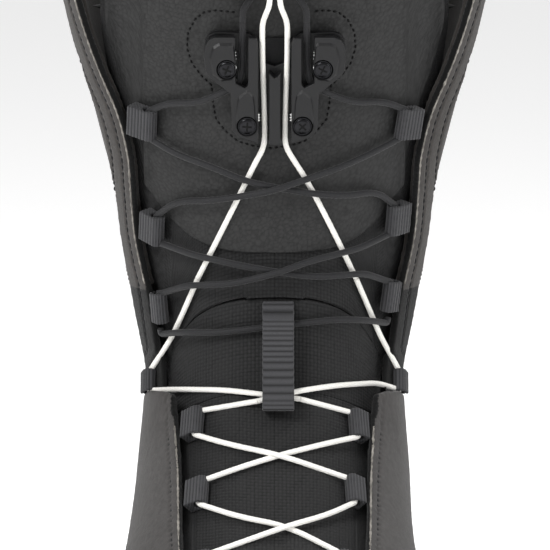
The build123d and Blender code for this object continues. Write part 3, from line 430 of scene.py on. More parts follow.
WEB_DARK = M("ribbed_webbing_dark", lin(30, 30, 31), 0.62, 0.4, sheen=0.1, spread=0.12, spread_scale=2500, bump=0.4, bump_scale=7000, crease_shade=0.92)
WHITE = M("white_braid", lin(251, 249, 243), 0.6, 0.4, sheen=0.3, spread=0.03, spread_scale=2500, bump=0.3, bump_scale=8000, crease_shade=0.16)
BLACK = M("black_braid", lin(36, 36, 38), 0.55, 0.45, sheen=0.15, spread=0.12, spread_scale=2500, bump=0.3, bump_scale=8000, crease_shade=0.6)
PLASTIC = M("lock_plastic", lin(26, 26, 27), 0.34, 0.55, spread=0.03, spread_scale=800, blotch=0.04, bump=0.18, bump_scale=5000, rough_var=0.05)
PLASTIC_DARK = M("lock_plastic_dark", lin(22, 22, 23), 0.45, 0.5, spread=0.03, spread_scale=800, bump=0.2, bump_scale=5000, rough_var=0.05)
STEEL = M("cam_steel", (0.62, 0.62, 0.61), 0.28, 0.5, metal=1.0, spread=0.08, spread_scale=900, bump=0.12, bump_scale=4000, rough_var=0.08)
RECESS_SHADOW = M("recess_shadow", (0.003, 0.003, 0.003), 0.9)
SCREW = M("screw_black_oxide", (0.025, 0.025, 0.027), 0.25, 0.5, metal=1.0, spread=0.08, spread_scale=900, bump=0.1, bump_scale=4000, rough_var=0.08)
RUBBER = M("sole_rubber", lin(30, 30, 31), 0.75, 0.35, spread=0.06, spread_scale=600, blotch=0.06, bump=0.35, bump_scale=2500)
RAND = M("toe_rubber", lin(26, 26, 27), 0.5, 0.45, spread=0.04, spread_scale=600, blotch=0.04, bump=0.25, bump_scale=3000, rough_var=0.06)
FOAM = M("midsole_foam", lin(42, 42, 44), 0.7, 0.3, spread=0.05, spread_scale=900, blotch=0.04, bump=0.6, bump_scale=900, bump_kind="voronoi")
GEL = M("heel_gel", lin(130, 135, 140), 0.3, 0.5, spread=0.05, spread_scale=300, bump=0.1, bump_scale=1500)
BOARD = M("fibre_board", lin(150, 140, 120), 0.85, 0.2, spread=0.12, spread_scale=900, bump=0.4, bump_scale=2500)
BIND = M("cotton_binding", lin(196, 188, 172), 0.8, 0.25, sheen=0.2, spread=0.10, spread_scale=1800, bump=0.5, bump_scale=5000, crease_shade=0.4)
LINER = M("liner_knit", lin(48, 48, 50), 0.88, 0.2, sheen=0.3, spread=0.10, spread_scale=1800, blotch=0.05, bump=0.6, bump_scale=3500, crease_shade=0.3)
LINER_IN = M("liner_lining", lin(34, 34, 36), 0.9, 0.2, sheen=0.3, spread=0.12, spread_scale=2200, bump=0.6, bump_scale=3500, crease_shade=0.3)
FACING = M("facing_cloth", lin(14, 14, 14), 0.85, 0.2, sheen=0.15, spread=0.2, spread_scale=1500, bump=0.6, bump_scale=4000)
STRETCH = M("stretch_panel", lin(24, 23.5, 23.5), 0.7, 0.3, sheen=0.1, spread=0.08, spread_scale=900, bump=0.4, bump_scale=2600, crease_shade=0.5)
# light grey of the cut flap edge: partly the raw fibre edge, partly a painted highlight along it
EDGE = M("raw_edge_and_highlight", lin(128, 124, 118), 0.85, 0.2, sheen=0.2, spread=0.45, spread_scale=700, blotch=0.45, blotch_scale=160, bump=0.5, bump_scale=4000)
THREAD_DK = M("stitch_thread_dark", lin(14, 14, 14), 0.6, 0.4, spread=0.12, spread_scale=3000, bump=0.3, bump_scale=9000)
THREAD = M("stitch_thread", lin(44, 44, 45), 0.6, 0.4, spread=0.12, spread_scale=3000, bump=0.3, bump_scale=9000)
THREAD_LT = M("stitch_thread_light", lin(112, 109, 106), 0.6, 0.4, spread=0.12, spread_scale=3000, bump=0.3, bump_scale=9000)
HANDLE_K = M("handle_black", lin(26, 26, 28), 0.5, 0.45, spread=0.04, spread_scale=800, bump=0.3, bump_scale=3500, rough_var=0.05)
HANDLE_W = M("handle_pale", lin(205, 202, 196), 0.5, 0.45, spread=0.04, spread_scale=800, bump=0.3, bump_scale=3500, rough_var=0.05)

# ------------------------------------------------------------------ laces
# the routes of the laces, in millimetres, as the solids follow them
ROUTES = {
    "black_lace_leg_0": [(-9.89, -16, 277.08, 0), (-9.89, -14.52, 270.76, 0), (-10.19, -12.47, 261.99, 0), (-10.79, -11.42, 257.51, 0), (-15.09, -10.78, 254.79, 0), (-24.5, -5.81, 250.4, 0), (-33, -1.32, 250.3, 0), (-40.35, 4.52, 246.81, 1), (-40.75, 7.23, 238.66, 1), (-31.6, 2.35, 233.5, 0), (-20.6, -2.52, 230.2, 0), (-9.3, -4.15, 225.6, 0), (0.2, -3.36, 223.4, 0), (14.4, -2.21, 221, 0), (24, 0.77, 220.3, 0), (32.6, 6.28, 221, 0), (39.05, 13.98, 215.19, 1), (38.42, 16.03, 206.86, 1), (27.5, 6.9, 202.8, 0), (20.2, 2.68, 201.4, 0), (11.3, 0.62, 199.4, 0), (0.2, -1.66, 195.6, 0), (-13.8, 2.29, 191.8, 0), (-23.4, 6.25, 190.9, 0), (-28, 9.14, 190.3, 0), (-37.66, 20.05, 185.91, 1), (-37.02, 21.53, 177.46, 1)],
    "black_lace_leg_1": [(10.11, -16, 277.08, 0), (10.11, -14.52, 270.76, 0), (10.41, -12.47, 261.99, 0), (11.01, -11.42, 257.51, 0), (15.31, -10.78, 254.79, 0), (24.8, -5.76, 250.6, 0), (34.4, -0.62, 250.6, 0), (42.38, 6.03, 246.95, 1), (41.13, 7.53, 238.57, 1), (31.5, 2.16, 234, 0), (20.7, -2.36, 229.6, 0), (8.6, -3.99, 225.6, 0), (-0.4, -6.08, 222.7, 0), (-11.4, -2.87, 220.4, 0), (-21, -0.08, 218.8, 0), (-31.4, 6.31, 217.9, 0), (-38.17, 14.13, 211.83, 1), (-38.57, 17.01, 203.74, 1), (-26.1, 6.43, 200.6, 0), (-18.3, 2.25, 199.4, 0), (-9.3, 1.21, 197.6, 0), (0.2, 1.22, 195.9, 0), (13, 2.09, 194, 0), (23.4, 5.72, 194.3, 0), (29, 9.13, 194.2, 0), (37.99, 19.47, 189.75, 1), (36.93, 20.4, 181.27, 1)],
    "black_lace_ankle_0": [(-36.8, 22.06, 174.47, 0), (-36.66, 22.37, 172.65, 0), (-28.8, 11.2, 175, 0), (-18, 5.49, 175.6, 0), (-6, 3.17, 177.4, 0), (7, 3.35, 178.8, 0), (19, 6.03, 179.8, 0), (28.8, 10.79, 179, 0), (36.33, 20.92, 176.43, 0), (36.56, 20.73, 178.26, 0)],
    "black_pull_laces_0": [(-4.88, -18.34, 289.77, 0), (-6.08, -17.72, 286.22, 0), (-9.79, -16.99, 281.27, 0), (-9.89, -16, 277.08, 0)],
    "black_pull_laces_1": [(5.12, -18.34, 289.77, 0), (6.32, -17.72, 286.22, 0), (10.01, -16.99, 281.27, 0), (10.11, -16, 277.08, 0)],
    "white_pull_laces_0": [(-1.38, -24.48, 288.34, 0), (-1.48, -22.91, 282.95, 0), (-3.79, -16.69, 276.92, 0), (-3.79, -15.43, 271.57, 0)],
    "white_pull_laces_1": [(1.62, -24.48, 288.34, 0), (1.72, -22.91, 282.95, 0), (4.01, -16.69, 276.92, 0), (4.01, -15.43, 271.57, 0)],
    "white_lace_leg_0": [(-3.79, -15.43, 271.57, 0), (-3.79, -14.4, 267.19, 0), (-3.59, -12.01, 260.05, 0), (-3.19, -9.27, 248.36, 0), (-2.99, -6.45, 237.21, 0), (-6.5, -2.91, 230.5, 0), (-12.2, 0.55, 218.2, 0), (-20.9, 6.21, 200.2, 0), (-24.6, 9.93, 192.4, 0)],
    "white_lace_leg_1": [(4.01, -15.43, 271.57, 0), (4.01, -14.4, 267.19, 0), (3.81, -12.01, 260.05, 0), (3.41, -9.27, 248.36, 0), (3.21, -6.45, 237.21, 0), (6.3, -3.36, 231.8, 0), (9.7, -1.32, 226.4, 0), (16, 1.94, 214.2, 0), (21.9, 6.44, 201.8, 0), (26, 10.86, 192.6, 0)],
    "white_lace_ankle_0": [(-24.74, 10.1, 192.06, 0), (-29, 15.31, 181.5, 0), (-31.6, 19.58, 175.3, 0), (-34, 21.96, 170.2, 0), (-40.89, 26.58, 159.16, 1), (-40.88, 23.5, 154.01, 1), (-31.02, 13, 156.12, 0), (-15.44, -2.71, 158.44, 0), (-3.33, -7.92, 157.82, 0), (8.09, -7.69, 156.36, 0)],
    "white_lace_ankle_1": [(26.14, 11.04, 192.27, 0), (29.3, 15.14, 184.5, 0), (32, 19.6, 177.6, 0), (34.2, 22.14, 172, 0), (40.89, 26.58, 159.16, 1), (40.88, 23.5, 154.01, 1), (33.37, 18.17, 157.37, 0), (19.3, 0.99, 159.32, 0), (6.18, -8.55, 158.85, 0), (-5.23, -9.75, 156.06, 0)],
    "white_lace_foot_0": [(8.09, -7.69, 156.36, 0), (26.51, 0.06, 150.17, 1), (26.97, -5.87, 143.96, 1), (16.9, -16.89, 143.81, 0), (1.73, -24.61, 141.33, 0), (-10.83, -27.49, 137.92, 0), (-23.7, -23, 132.42, 1), (-24.12, -29.45, 126.74, 1), (-11.37, -41.74, 124.89, 0), (3.89, -45.31, 122.6, 0), (22.03, -48.15, 113.79, 1), (23.32, -54.9, 108.62, 1), (14.4, -76.98, 99.8, 0), (10.08, -77.25, 101.66, 0), (-8.92, -77.16, 101.45, 0), (-13.4, -77.07, 99.6, 0), (-23.09, -54.81, 108.51, 1), (-21.76, -48.17, 113.81, 1), (3.88, -47.98, 123.11, 0), (16.07, -39.27, 124.8, 0), (25.65, -27.24, 126.84, 1), (25.23, -20.79, 132.51, 1), (1.73, -27.08, 141.77, 0), (-13.4, -20.06, 143.66, 0), (-25.84, -6.46, 144.85, 1), (-25.37, -0.55, 151.08, 1), (-5.23, -9.75, 156.06, 0)],
}


def rounded(pts):
    """the taut line of a lace: straight runs with a short turn at a webbing loop and an easy one elsewhere"""
    V = [np.array(p[:3], float) * MM for p in pts]
    tight = [len(p) > 3 and p[3] for p in pts]
    out = [V[0]]
    for i in range(1, len(V) - 1):
        a, c = V[i - 1] - V[i], V[i + 1] - V[i]
        la, lc = np.linalg.norm(a), np.linalg.norm(c)
        r = min(0.47 * min(la, lc), 0.0016 if tight[i] else 0.011)
        p0, p2 = V[i] + a / la * r, V[i] + c / lc * r
        for k in range(9):
            t = k / 8
            out.append((1 - t) ** 2 * p0 + 2 * t * (1 - t) * V[i] + t * t * p2)
    out.append(V[-1])
    return np.array(out)


def resample(P, step):
    d = np.linalg.norm(np.diff(P, axis=0), axis=1)
    P = P[np.r_[True, d > 1e-9]]
    d = np.linalg.norm(np.diff(P, axis=0), axis=1)
    s = np.r_[0, np.cumsum(d)]
    n = max(4, int(s[-1] / (step * MM)))
    t = np.linspace(0, s[-1], n + 1)
    return np.stack([np.interp(t, s, P[:, k]) for k in range(3)], 1), t


def frames(P):
    T = np.gradient(P, axis=0)
    T /= np.linalg.norm(T, axis=1, keepdims=True)
    U = np.zeros_like(P)
    u = np.cross(T[0], [0, 0, 1.0])
    if np.linalg.norm(u) < 0.1:
        u = np.cross(T[0], [0, 1.0, 0])
    u /= np.linalg.norm(u)
    for i in range(len(P)):
        u = u - T[i] * (u @ T[i])
        u /= np.linalg.norm(u)
        U[i] = u
    return T, U, np.cross(T, U)


def lace(pts, dia, carriers, step, ring=24):
    """a braided cord: two sets of strands winding both ways and crossing over and under"""
    P, t = resample(rounded(pts), step)
    for _ in range(3):
        P[1:-1] = (P[:-2] + 2 * P[1:-1] + P[2:]) / 4
    T, U, V = frames(P)
    a = np.arange(ring) / ring * 2 * math.pi
    A, S = np.meshgrid(a, t / MM)
    pitch = dia * 2.3
    ph1 = carriers * A + 2 * math.pi * S / pitch * carriers / 4
    ph2 = carriers * A - 2 * math.pi * S / pitch * carriers / 4
    s1 = np.abs(np.cos(ph1 / 2))
    s2 = np.abs(np.cos(ph2 / 2))
    over = 0.5 + 0.5 * np.sin((ph1 + ph2) / 4) * np.sin((ph1 - ph2) / 4) * 2
    over = np.clip(over, 0, 1)
    h = np.maximum(s1 * (0.55 + 0.45 * over), s2 * (1.0 - 0.45 * over))
    r = dia / 2 * (0.90 + 0.13 * h) * MM
    co = P[:, None, :] + r[..., None] * (np.cos(A)[..., None] * U[:, None, :] + np.sin(A)[..., None] * V[:, None, :])
    n = len(P)
    idx = np.arange(n * ring).reshape(n, ring)
    nx = np.roll(idx, -1, axis=1)
    q = np.stack([idx[:-1], nx[:-1], nx[1:], idx[1:]], -1).reshape(-1, 4)
    fs = q.tolist()
    fs.append(idx[0][::-1].tolist())
    fs.append(idx[-1].tolist())
    return co.reshape(-1, 3), fs, h.ravel(), P


def lace_piece(name, keys, dia, carriers, material, step=0.28):
    vs, fs, hs, k = [], [], [], 0
    for key in keys:
        co, f, h, _ = lace(ROUTES[key], dia, carriers, step)
        vs.append(co)
        fs += [[a + k for a in q] for q in f]
        hs.append(h)
        k += len(co)
    me = bpy.data.meshes.new(name)
    me.from_pydata(np.concatenate(vs).tolist(), [], fs)
    # strand height as the hollow value: painted shade between the strands, painted light on their crowns
    tint(me, np.concatenate(hs) * 1.15 - 0.15)
    return new_obj(name, me, material)


# where the cuff turns on the foot part
HY, HZ = 0.07284, 0.112


def across(o):
    """bakes the world placement into a piece of the ankle between foot and leg"""
    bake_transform(o)


wl = lace_piece("laces_white_leg", ["white_lace_leg_0", "white_lace_leg_1"], 1.75, 8, WHITE)
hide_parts("white_lace_leg"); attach(wl, "cuff")
wf = lace_piece("laces_white_foot", ["white_lace_foot_0"], 1.75, 8, WHITE)
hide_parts("white_lace_foot"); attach(wf, "foot")
wa = lace_piece("laces_white_ankle", ["white_lace_ankle_0", "white_lace_ankle_1"], 1.75, 8, WHITE)
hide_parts("white_lace_ankle"); across(wa)
bl = lace_piece("laces_black_leg", ["black_lace_leg_0", "black_lace_leg_1"], 2.05, 12, BLACK, 0.3)
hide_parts("black_lace_leg"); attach(bl, "cuff")
ba = lace_piece("laces_black_ankle", ["black_lace_ankle_0"], 2.05, 12, BLACK, 0.3)
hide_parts("black_lace_ankle"); across(ba)
for col, mat_, dia, slot_, car in (("black", BLACK, 2.05, "black_lace", 12), ("white", WHITE, 1.75, "white_lace", 8)):
    pl = lace_piece("laces_%s_pull" % col, [col + "_pull_laces_0", col + "_pull_laces_1"], dia, car, mat_)
    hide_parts(col + "_pull_laces")
    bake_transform(pl)


# ------------------------------------------------------------------ tongue
def weave(pitch, amp):
    def f(P, sx, sz):
        a, b = sx / pitch, sz / pitch
        fa, fb = a - np.floor(a), b - np.floor(b)
        par = (np.floor(a) + np.floor(b)) % 2
        up = np.sin(math.pi * fa) ** 0.55 * (0.35 + 0.65 * np.sin(math.pi * fb) ** 0.6)
        fl = np.sin(math.pi * fb) ** 0.55 * (0.35 + 0.65 * np.sin(math.pi * fa) ** 0.6)
        h = np.where(par > 0, up, fl)
        # weave height as the hollow value: painted shade in the weave's valleys
        return amp * (h - 0.6) + 0.15 * (fbm(P, 9, 3) - 0.5), h * (0.9 + 0.2 * par)
    return f


def pebbled(pitch, amp, hem=None):
    def f(P, sx, sz):
        g = pebble(P, pitch, 5)
        h = amp * (g - 0.7) + 0.25 * (fbm(P, 14, 7) - 0.5)
        # pebble height as the hollow value: painted shade in the creases between pebbles
        return h, 0.15 + 0.85 * g
    return f


STEP_W = 0.27
STEP_L = 0.36
for node, me, slot_, body in (
        ("tongue_upper", sheet("tongue_upper", STEP_W, 4.0, weave(1.25, 0.28)), "mesh", "cuff"),
        ("tongue_flex", sheet("tongue_flex", STEP_W, 4.0, weave(1.25, 0.28)), "mesh", None),
        ("tongue_lower", sheet("tongue_lower", STEP_W, 4.0, weave(1.25, 0.28)), "mesh", "foot")):
    o = new_obj(node + "_cloth", me, MESH)
    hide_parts(node)
    if body:
        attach(o, body)
    else:
        across(o)
o = new_obj("tongue_leather", sheet("tongue_overlay", STEP_L, 0.75, pebbled(1.5, 0.16)), LEATHER)
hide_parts("tongue_overlay"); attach(o, "cuff")


# ------------------------------------------------------------------ panels
STITCH = {}


def groove(co, nrm, lines, width, depth):
    """presses the surface in along stitch lines"""
    pts = [p for l in lines for p in l]
    if not pts:
        return co
    kd = KDTree(len(pts))
    for i, p in enumerate(pts):
        kd.insert(p, i)
    kd.balance()
    lo = np.array(pts).min(0) - 0.004
    hi = np.array(pts).max(0) + 0.004
    near = np.where(((co > lo) & (co < hi)).all(1))[0]
    for i in near:
        d = kd.find(co[i])[2] / MM
        if d < width:
            co[i] -= nrm[i] * depth * MM * (0.5 + 0.5 * math.cos(math.pi * d / width))
    return co


def panel(name, nodes, size, material, body, amp=0.1, wrinkle=0.35, pitch=1.2, lines=(), sm=4, off=0.0, depth=0.45, width=1.5):
    me = remeshed(nodes, size, sm)
    co, nr = coords(me), normals(me)
    g = fbm(co, pitch, 21, 2)
    h = amp * (g - 0.5) * 2 + wrinkle * (fbm(co, 26, 31, 3) - 0.5) * 2 + off
    co2 = co + nr * (h * MM)[:, None]
    co2 = groove(co2, nr, lines, width, depth)
    put(me, co2)
    # the fine relief's height as the hollow value: painted shade in its low spots
    tint(me, 0.2 + 0.9 * g)
    o = new_obj(name, me, material)
    if isinstance(nodes, str):
        nodes = [nodes]
    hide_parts(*nodes)
    if body:
        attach(o, body)
    else:
        across(o)
    return o


def stitches(name, rows, material, body, pitch=2.6, length=1.9, r=0.30, lift=0.12, mesh=None):
    """thread laid along lines of (point, normal), one small bent capsule a stitch"""
    vs, fs = [], []
    for row in rows:
        if len(row) < 2:
            continue
        P = np.array([list(p) for p, n in row])
        Nn = np.array([list(n) for p, n in row])
        d = np.r_[0, np.cumsum(np.linalg.norm(np.diff(P, axis=0), axis=1))]
        m = int(d[-1] / (pitch * MM))
        for i in range(m):
            c0 = (i + 0.5) * pitch * MM
            ring_pts = []
            for j in range(7):
                u = j / 6.0
                s = c0 + (u - 0.5) * length * MM
                p = np.array([np.interp(s, d, P[:, k]) for k in range(3)])
                n = np.array([np.interp(s, d, Nn[:, k]) for k in range(3)])
                n /= np.linalg.norm(n)
                q = np.array([np.interp(s + 1e-4, d, P[:, k]) for k in range(3)]) - np.array([np.interp(s - 1e-4, d, P[:, k]) for k in range(3)])
                q /= np.linalg.norm(q) + 1e-12
                w = np.cross(q, n)
                rr = r * MM * max(0.25, math.sin(math.pi * (0.06 + 0.88 * u)) ** 0.45)
                c = p + n * MM * (lift + 0.22 * math.sin(math.pi * u) - 0.12)
                ring_pts.append([c + rr * (math.cos(t) * w + math.sin(t) * n) for t in [k * math.pi / 3 for k in range(6)]])
            k0 = len(vs)
            for rp in ring_pts:
                vs += rp
            for j in range(6):
                for k in range(6):
                    a = k0 + j * 6 + k
                    b = k0 + j * 6 + (k + 1) % 6
                    fs.append((a, b, b + 6, a + 6))
            fs.append(tuple(k0 + k for k in range(5, -1, -1)))
            fs.append(tuple(k0 + 36 + k for k in range(6)))
    me = bpy.data.meshes.new(name)
    me.from_pydata([tuple(v) for v in vs], [], fs)
    o = new_obj(name, me, material)
    if body:
        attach(o, body)
    else:
        across(o)
    return o


def line_off_edge(nodes, zs, x_from, x_to, off):
    """a line on the nodes' front, off mm outside their inner edge at each height"""
    out = []
    sg = 1 if x_to > x_from else -1
    for z in zs:
        e = edge_x(nodes, z, x_from, x_to)
        if e is None:
            continue
        h = front(nodes, e + sg * off, z)
        if h and (not out or (h[0] - out[-1][0]).length < 0.012):
            out.append(h)
    return out


def fr(a, b, s):
    n = max(1, int(abs(b - a) / s))
    return [a + (b - a) * i / n for i in range(n + 1)]


def at(rows):
    """points of lines, for grooves"""
    return [[p for p, n in r] for r in rows]


def tube_rows(name, rows, r, material, body, lift=0.0, seed=3):
    """a thin irregular bead along lines of (point, normal): the cut edge of a folded panel"""
    vs, fs = [], []
    for row in rows:
        if len(row) < 3:
            continue
        P = np.array([list(p) for p, n in row])
        Nn = np.array([list(n) for p, n in row])
        P2, t = resample(P + Nn * lift * MM, 0.45)
        d = np.r_[0, np.cumsum(np.linalg.norm(np.diff(P, axis=0), axis=1))]
        for _ in range(4):
            P2[1:-1] = (P2[:-2] + 2 * P2[1:-1] + P2[2:]) / 4
        T, U, V = frames(P2)
        rr = r * MM * (0.65 + 0.7 * vnoise(P2, 1.1, seed))
        k0 = len(vs)
        for i in range(len(P2)):
            for k in range(8):
                a = k * math.pi / 4
                vs.append(P2[i] + rr[i] * (1 + 0.25 * math.sin(3 * a + i)) * (math.cos(a) * U[i] + math.sin(a) * V[i]))
        for i in range(len(P2) - 1):
            for k in range(8):
                a, b_ = k0 + i * 8 + k, k0 + i * 8 + (k + 1) % 8
                fs.append((a, b_, b_ + 8, a + 8))
        fs.append(tuple(k0 + k for k in range(7, -1, -1)))
        fs.append(tuple(k0 + (len(P2) - 1) * 8 + k for k in range(8)))
    me = bpy.data.meshes.new(name)
    me.from_pydata([tuple(v) for v in vs], [], fs)
    o = new_obj(name, me, material)
    if body:
        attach(o, body)
    else:
        across(o)
    return o


def raise_top(o, table):
    """draws a flap's upper edge up to its real outline; table: (y, added height) in mm at the outer side"""
    me = o.data
    co = coords(me)
    ys = np.array([t[0] for t in table]) * MM
    add = np.array([t[1] for t in table]) * MM
    top = np.array([t[2] for t in table]) * MM
    d = np.interp(co[:, 1], ys, add)
    zt = np.interp(co[:, 1], ys, top)
    w = smooth(0, 1, (co[:, 2] - (zt - 0.024)) / 0.024)
    co[:, 2] += d * w
    co[:, 0] -= np.sign(co[:, 0]) * 0.13 * d * w
    put(me, co)


FLAP_TOP = [(-30.0, 0.0, 150.0), (-4.0, 0.3, 154.2), (0.0, 0.8, 154.2), (5.0, 2.8, 151.6), (10.8, 6.6, 148.5), (20.0, 11.0, 142.9), (30.8, 14.0, 136.4), (40.0, 15.5, 131.0)]


def rim(o, row, sg, material, under=None):
    """the strip between a panel's inner edge and the line is another cloth"""
    me = o.data
    me.materials.append(material)
    z = np.array([p.z for p, n in row])
    x = np.array([p.x for p, n in row]) * sg
    s = np.argsort(z)
    z, x = z[s], x[s]
    co = coords(me)
    c = np.array([p.center for p in me.polygons])
    lx = np.interp(c[:, 2], z, x)
    idx = ((c[:, 0] * sg < lx) | (c[:, 2] < (under or -1))).astype(np.int32)
    me.polygons.foreach_set("material_index", idx)
    me.update()


for side, sg in (("left", -1), ("right", 1)):
    nd = "eyestay_lower_" + side
    lo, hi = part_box(nd)
    zs = fr(lo.z / MM + 1.0, hi.z / MM - 1.0, 1.2)
    rows = [line_off_edge([nd], zs, 0, sg * 60, o_) for o_ in (1.1, 3.4, 6.0)]
    o = panel("flap_low_" + side, nd, 0.6, NUBUCK_LOW, "foot", 0.07, 0.15, 1.0, lines=at(rows[1:]), sm=3, off=0.4, depth=0.6, width=1.2)
    raise_top(o, FLAP_TOP)
    rim(o, rows[0], sg, FACING)
    stitches("flap_low_stitches_" + side, rows[1:], THREAD, "foot", lift=-0.02)
    # a light bead on the flap's inner edge: partly the raw edge, partly a painted highlight
    tube_rows("flap_low_edge_" + side, rows[:1], 0.33, EDGE, "foot", 0.1)
    nd = "eyestay_upper_" + side
    lo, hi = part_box(nd)
    zs = fr(lo.z / MM + 1.0, hi.z / MM - 1.0, 1.2)
    rows = [line_off_edge([nd], zs, 0, sg * 75, o_) for o_ in (1.9, 4.3, 7.6)]
    o = panel("flap_up_" + side, nd, 0.6, NUBUCK, "cuff", 0.07, 0.12, 1.0, lines=at(rows[1:]), sm=3, off=0.3, depth=0.6, width=1.4)
    rim(o, rows[0], sg, FACING, 0.187)
    stitches("flap_up_stitches_" + side, rows[1:], THREAD, "cuff", lift=-0.02)
    tube_rows("flap_up_edge_" + side, [[q for q in rows[0] if q[0].z > 0.189]], 0.36, EDGE, "cuff", 0.15)

def step_z(y):
    """the lower hem of the grey leg panel; the dark stretch panel shows under it (y, z in metres)"""
    return 0.1885 - 0.85 * np.maximum(0, y - 0.052)


def cuff_panel(side):
    sg = -1 if side == "left" else 1
    me = remeshed("cuff_shell_" + side, 0.95, 4)
    co, nr = coords(me), normals(me)
    g = fbm(co, 1.1, 21, 2)
    below_ = smooth(0.0006, -0.0006, co[:, 2] - step_z(co[:, 1]))
    h = 0.06 * (g - 0.5) * 2 + 0.14 * (fbm(co, 26, 31, 3) - 0.5) * 2 - 0.12 - 0.7 * below_ + 0.25 * (1 - below_) * smooth(0.0042, 0.0, np.abs(co[:, 2] - step_z(co[:, 1])))
    ribs = np.abs(np.sin(math.pi * (co[:, 2] + 0.35 * co[:, 1]) / 0.0046)) ** 0.7
    h = h + below_ * 0.22 * (ribs - 0.5)
    put(me, co + nr * (h * MM)[:, None])
    # relief height as the hollow value, lowered between the stretch panel's ribs: painted shade
    tint(me, 0.2 + 0.9 * g - 0.3 * below_ * (1 - ribs))
    o = new_obj("cuff_panel_" + side, me, NUBUCK)
    me.materials.append(STRETCH)
    c = np.array([p.center for p in me.polygons])
    me.polygons.foreach_set("material_index", (c[:, 2] < step_z(c[:, 1])).astype(np.int32))
    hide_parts("cuff_shell_" + side)
    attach(o, "cuff")
    # hem stitching, two rows over the step
    t = mesh_tree(me)
    rows = []
    for up in (0.0022, 0.0046):
        row = []
        for k in range(0, 60):
            y = 0.006 + 0.0018 * k
            z = float(step_z(np.array([y]))[0]) + up
            hit = t.ray_cast(Vector((sg * 0.12, y, z)), Vector((-sg, 0, 0)))
            if hit[0] is not None and (not row or (hit[0] - row[-1][0]).length < 0.01):
                row.append((hit[0], hit[1] if hit[1].x * sg > 0 else -hit[1]))
        rows.append(row)
    stitches("cuff_hem_stitches_" + side, rows, THREAD, "cuff", lift=0.1)


for side in ("left", "right"):
    cuff_panel(side)
    panel("collar_edge_" + side, "collar_binding_" + side, 0.6, BIND, "cuff", 0.08, 0.1, 0.9)
panel("quarter_in", "quarter_medial", 0.95, NUBUCK_DARK, "foot", 0.06, 0.12, 1.1, off=-0.5)
panel("quarter_out", "quarter_lateral", 0.95, NUBUCK_DARK, "foot", 0.06, 0.12, 1.1, off=-0.5)
panel("toe_leather", "toe_box", 0.95, NUBUCK, "foot", 0.06, 0.4, 1.1)
panel("toe_rand", "toe_cap", 0.7, RAND, "foot", 0.04, 0.1, 1.0)
panel("heel_rand", "heel_counter", 0.7, RAND, "foot", 0.04, 0.1, 1.0)
panel("back_strip", "back_stay", 0.7, NUBUCK_DARK, "cuff", 0.05, 0.2, 1.0)
panel("ankle_gusset", "flex_bands", 0.45, GUSSET, None, 0.05, 0.25, 0.9, sm=2)
panel("ankle_facings", "flex_facings", 0.6, GUSSET, None, 0.05, 0.2, 0.9, sm=2)

# ------------------------------------------------------------------ liner
LN = panel("liner_leg", "liner_cuff", 1.2, LINER, "cuff", 0.08, 0.5, 1.0)
LT = panel("liner_tongue_pad", "liner_tongue", 1.2, LINER, "cuff", 0.08, 0.5, 1.0)
LF = panel("liner_foot_pad", "liner_foot", 1.4, LINER, "foot", 0.08, 0.4, 1.0)
LX = panel("liner_ankle", "liner_flex", 1.2, LINER_IN, None, 0.08, 0.3, 1.0)
FB = panel("footbed_pad", "footbed", 1.2, LINER_IN, "foot", 0.05, 0.2, 1.0)
panel("liner_loop", "liner_pull_loop", 0.4, WEB, "cuff", 0.05, 0.05, 0.8, sm=2)
panel("rear_loop", "rear_pull_loop", 0.5, WEB_DARK, "cuff", 0.06, 0.05, 0.8, sm=2)

# ------------------------------------------------------------------ webbing loops
# each loop: its place (mm), its up, its outward direction
HOLES = {
    "UL1": ((-39.5, 9.53, 243.9), (0.0474, -0.3155, 0.9477), (-0.5975, -0.7693, -0.2263)),
    "UR1": ((40.6, 10.49, 243.6), (0.1461, -0.1746, 0.9738), (0.6154, -0.7546, -0.2276)),
    "UL2": ((-36.6, 18.95, 208.9), (0.0471, -0.3349, 0.9411), (-0.7408, -0.6437, -0.192)),
    "UR2": ((37, 18.44, 212), (0.0726, -0.238, 0.9685), (0.7341, -0.6446, -0.2135)),
    "UL3": ((-34.2, 23.51, 182.4), (-0.0737, -0.1724, 0.9823), (-0.7975, -0.5812, -0.1618)),
    "UR3": ((34.4, 22.75, 186.2), (0.1233, -0.1075, 0.9865), (0.7803, -0.6037, -0.1633)),
    "LL1": ((-24.9, -1.38, 145.9), (0.0543, 0.6873, 0.7243), (-0.6797, -0.506, 0.5311)),
    "LR1": ((26, -0.8, 145), (-0.0542, 0.6896, 0.7221), (0.6884, -0.4981, 0.5273)),
    "LL2": ((-23.6, -24.23, 127.3), (0.0495, 0.7494, 0.6603), (-0.5785, -0.5174, 0.6306)),
    "LR2": ((25, -22.04, 127.4), (-0.0494, 0.7504, 0.6591), (0.6121, -0.4987, 0.6137)),
    "LL3": ((-22.6, -49.58, 108.8), (0.1542, 0.7719, 0.6167), (-0.4361, -0.5069, 0.7435)),
    "LR3": ((22.8, -49.66, 108.8), (-0.1504, 0.7845, 0.6016), (0.4513, -0.487, 0.7478)),
    "AL": ((-38.57, 25.85, 156.1), (-0.0009, 0.514, 0.8578), (-0.9472, -0.2754, 0.1641)),
    "AR": ((38.57, 25.85, 156.1), (0.0009, 0.514, 0.8578), (0.9472, -0.2754, 0.1641)),
}


def ribbed(name, node, size, phase, material, body, pitch=1.25, amp=0.30, sm=2):
    me = remeshed(node, size, sm)
    co, nr = coords(me), normals(me)
    s = phase(co) / pitch
    r = np.abs(np.sin(math.pi * s))
    h = amp * (r ** 0.6 - 0.6) + 0.05 * (fbm(co, 0.8, 41, 2) - 0.5)
    put(me, co + nr * (h * MM)[:, None])
    # rib height as the hollow value: painted shade in the valleys between ribs
    tint(me, r ** 0.7)
    o = new_obj(name, me, material)
    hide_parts(node)
    if body:
        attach(o, body)
    else:
        across(o)
    return o


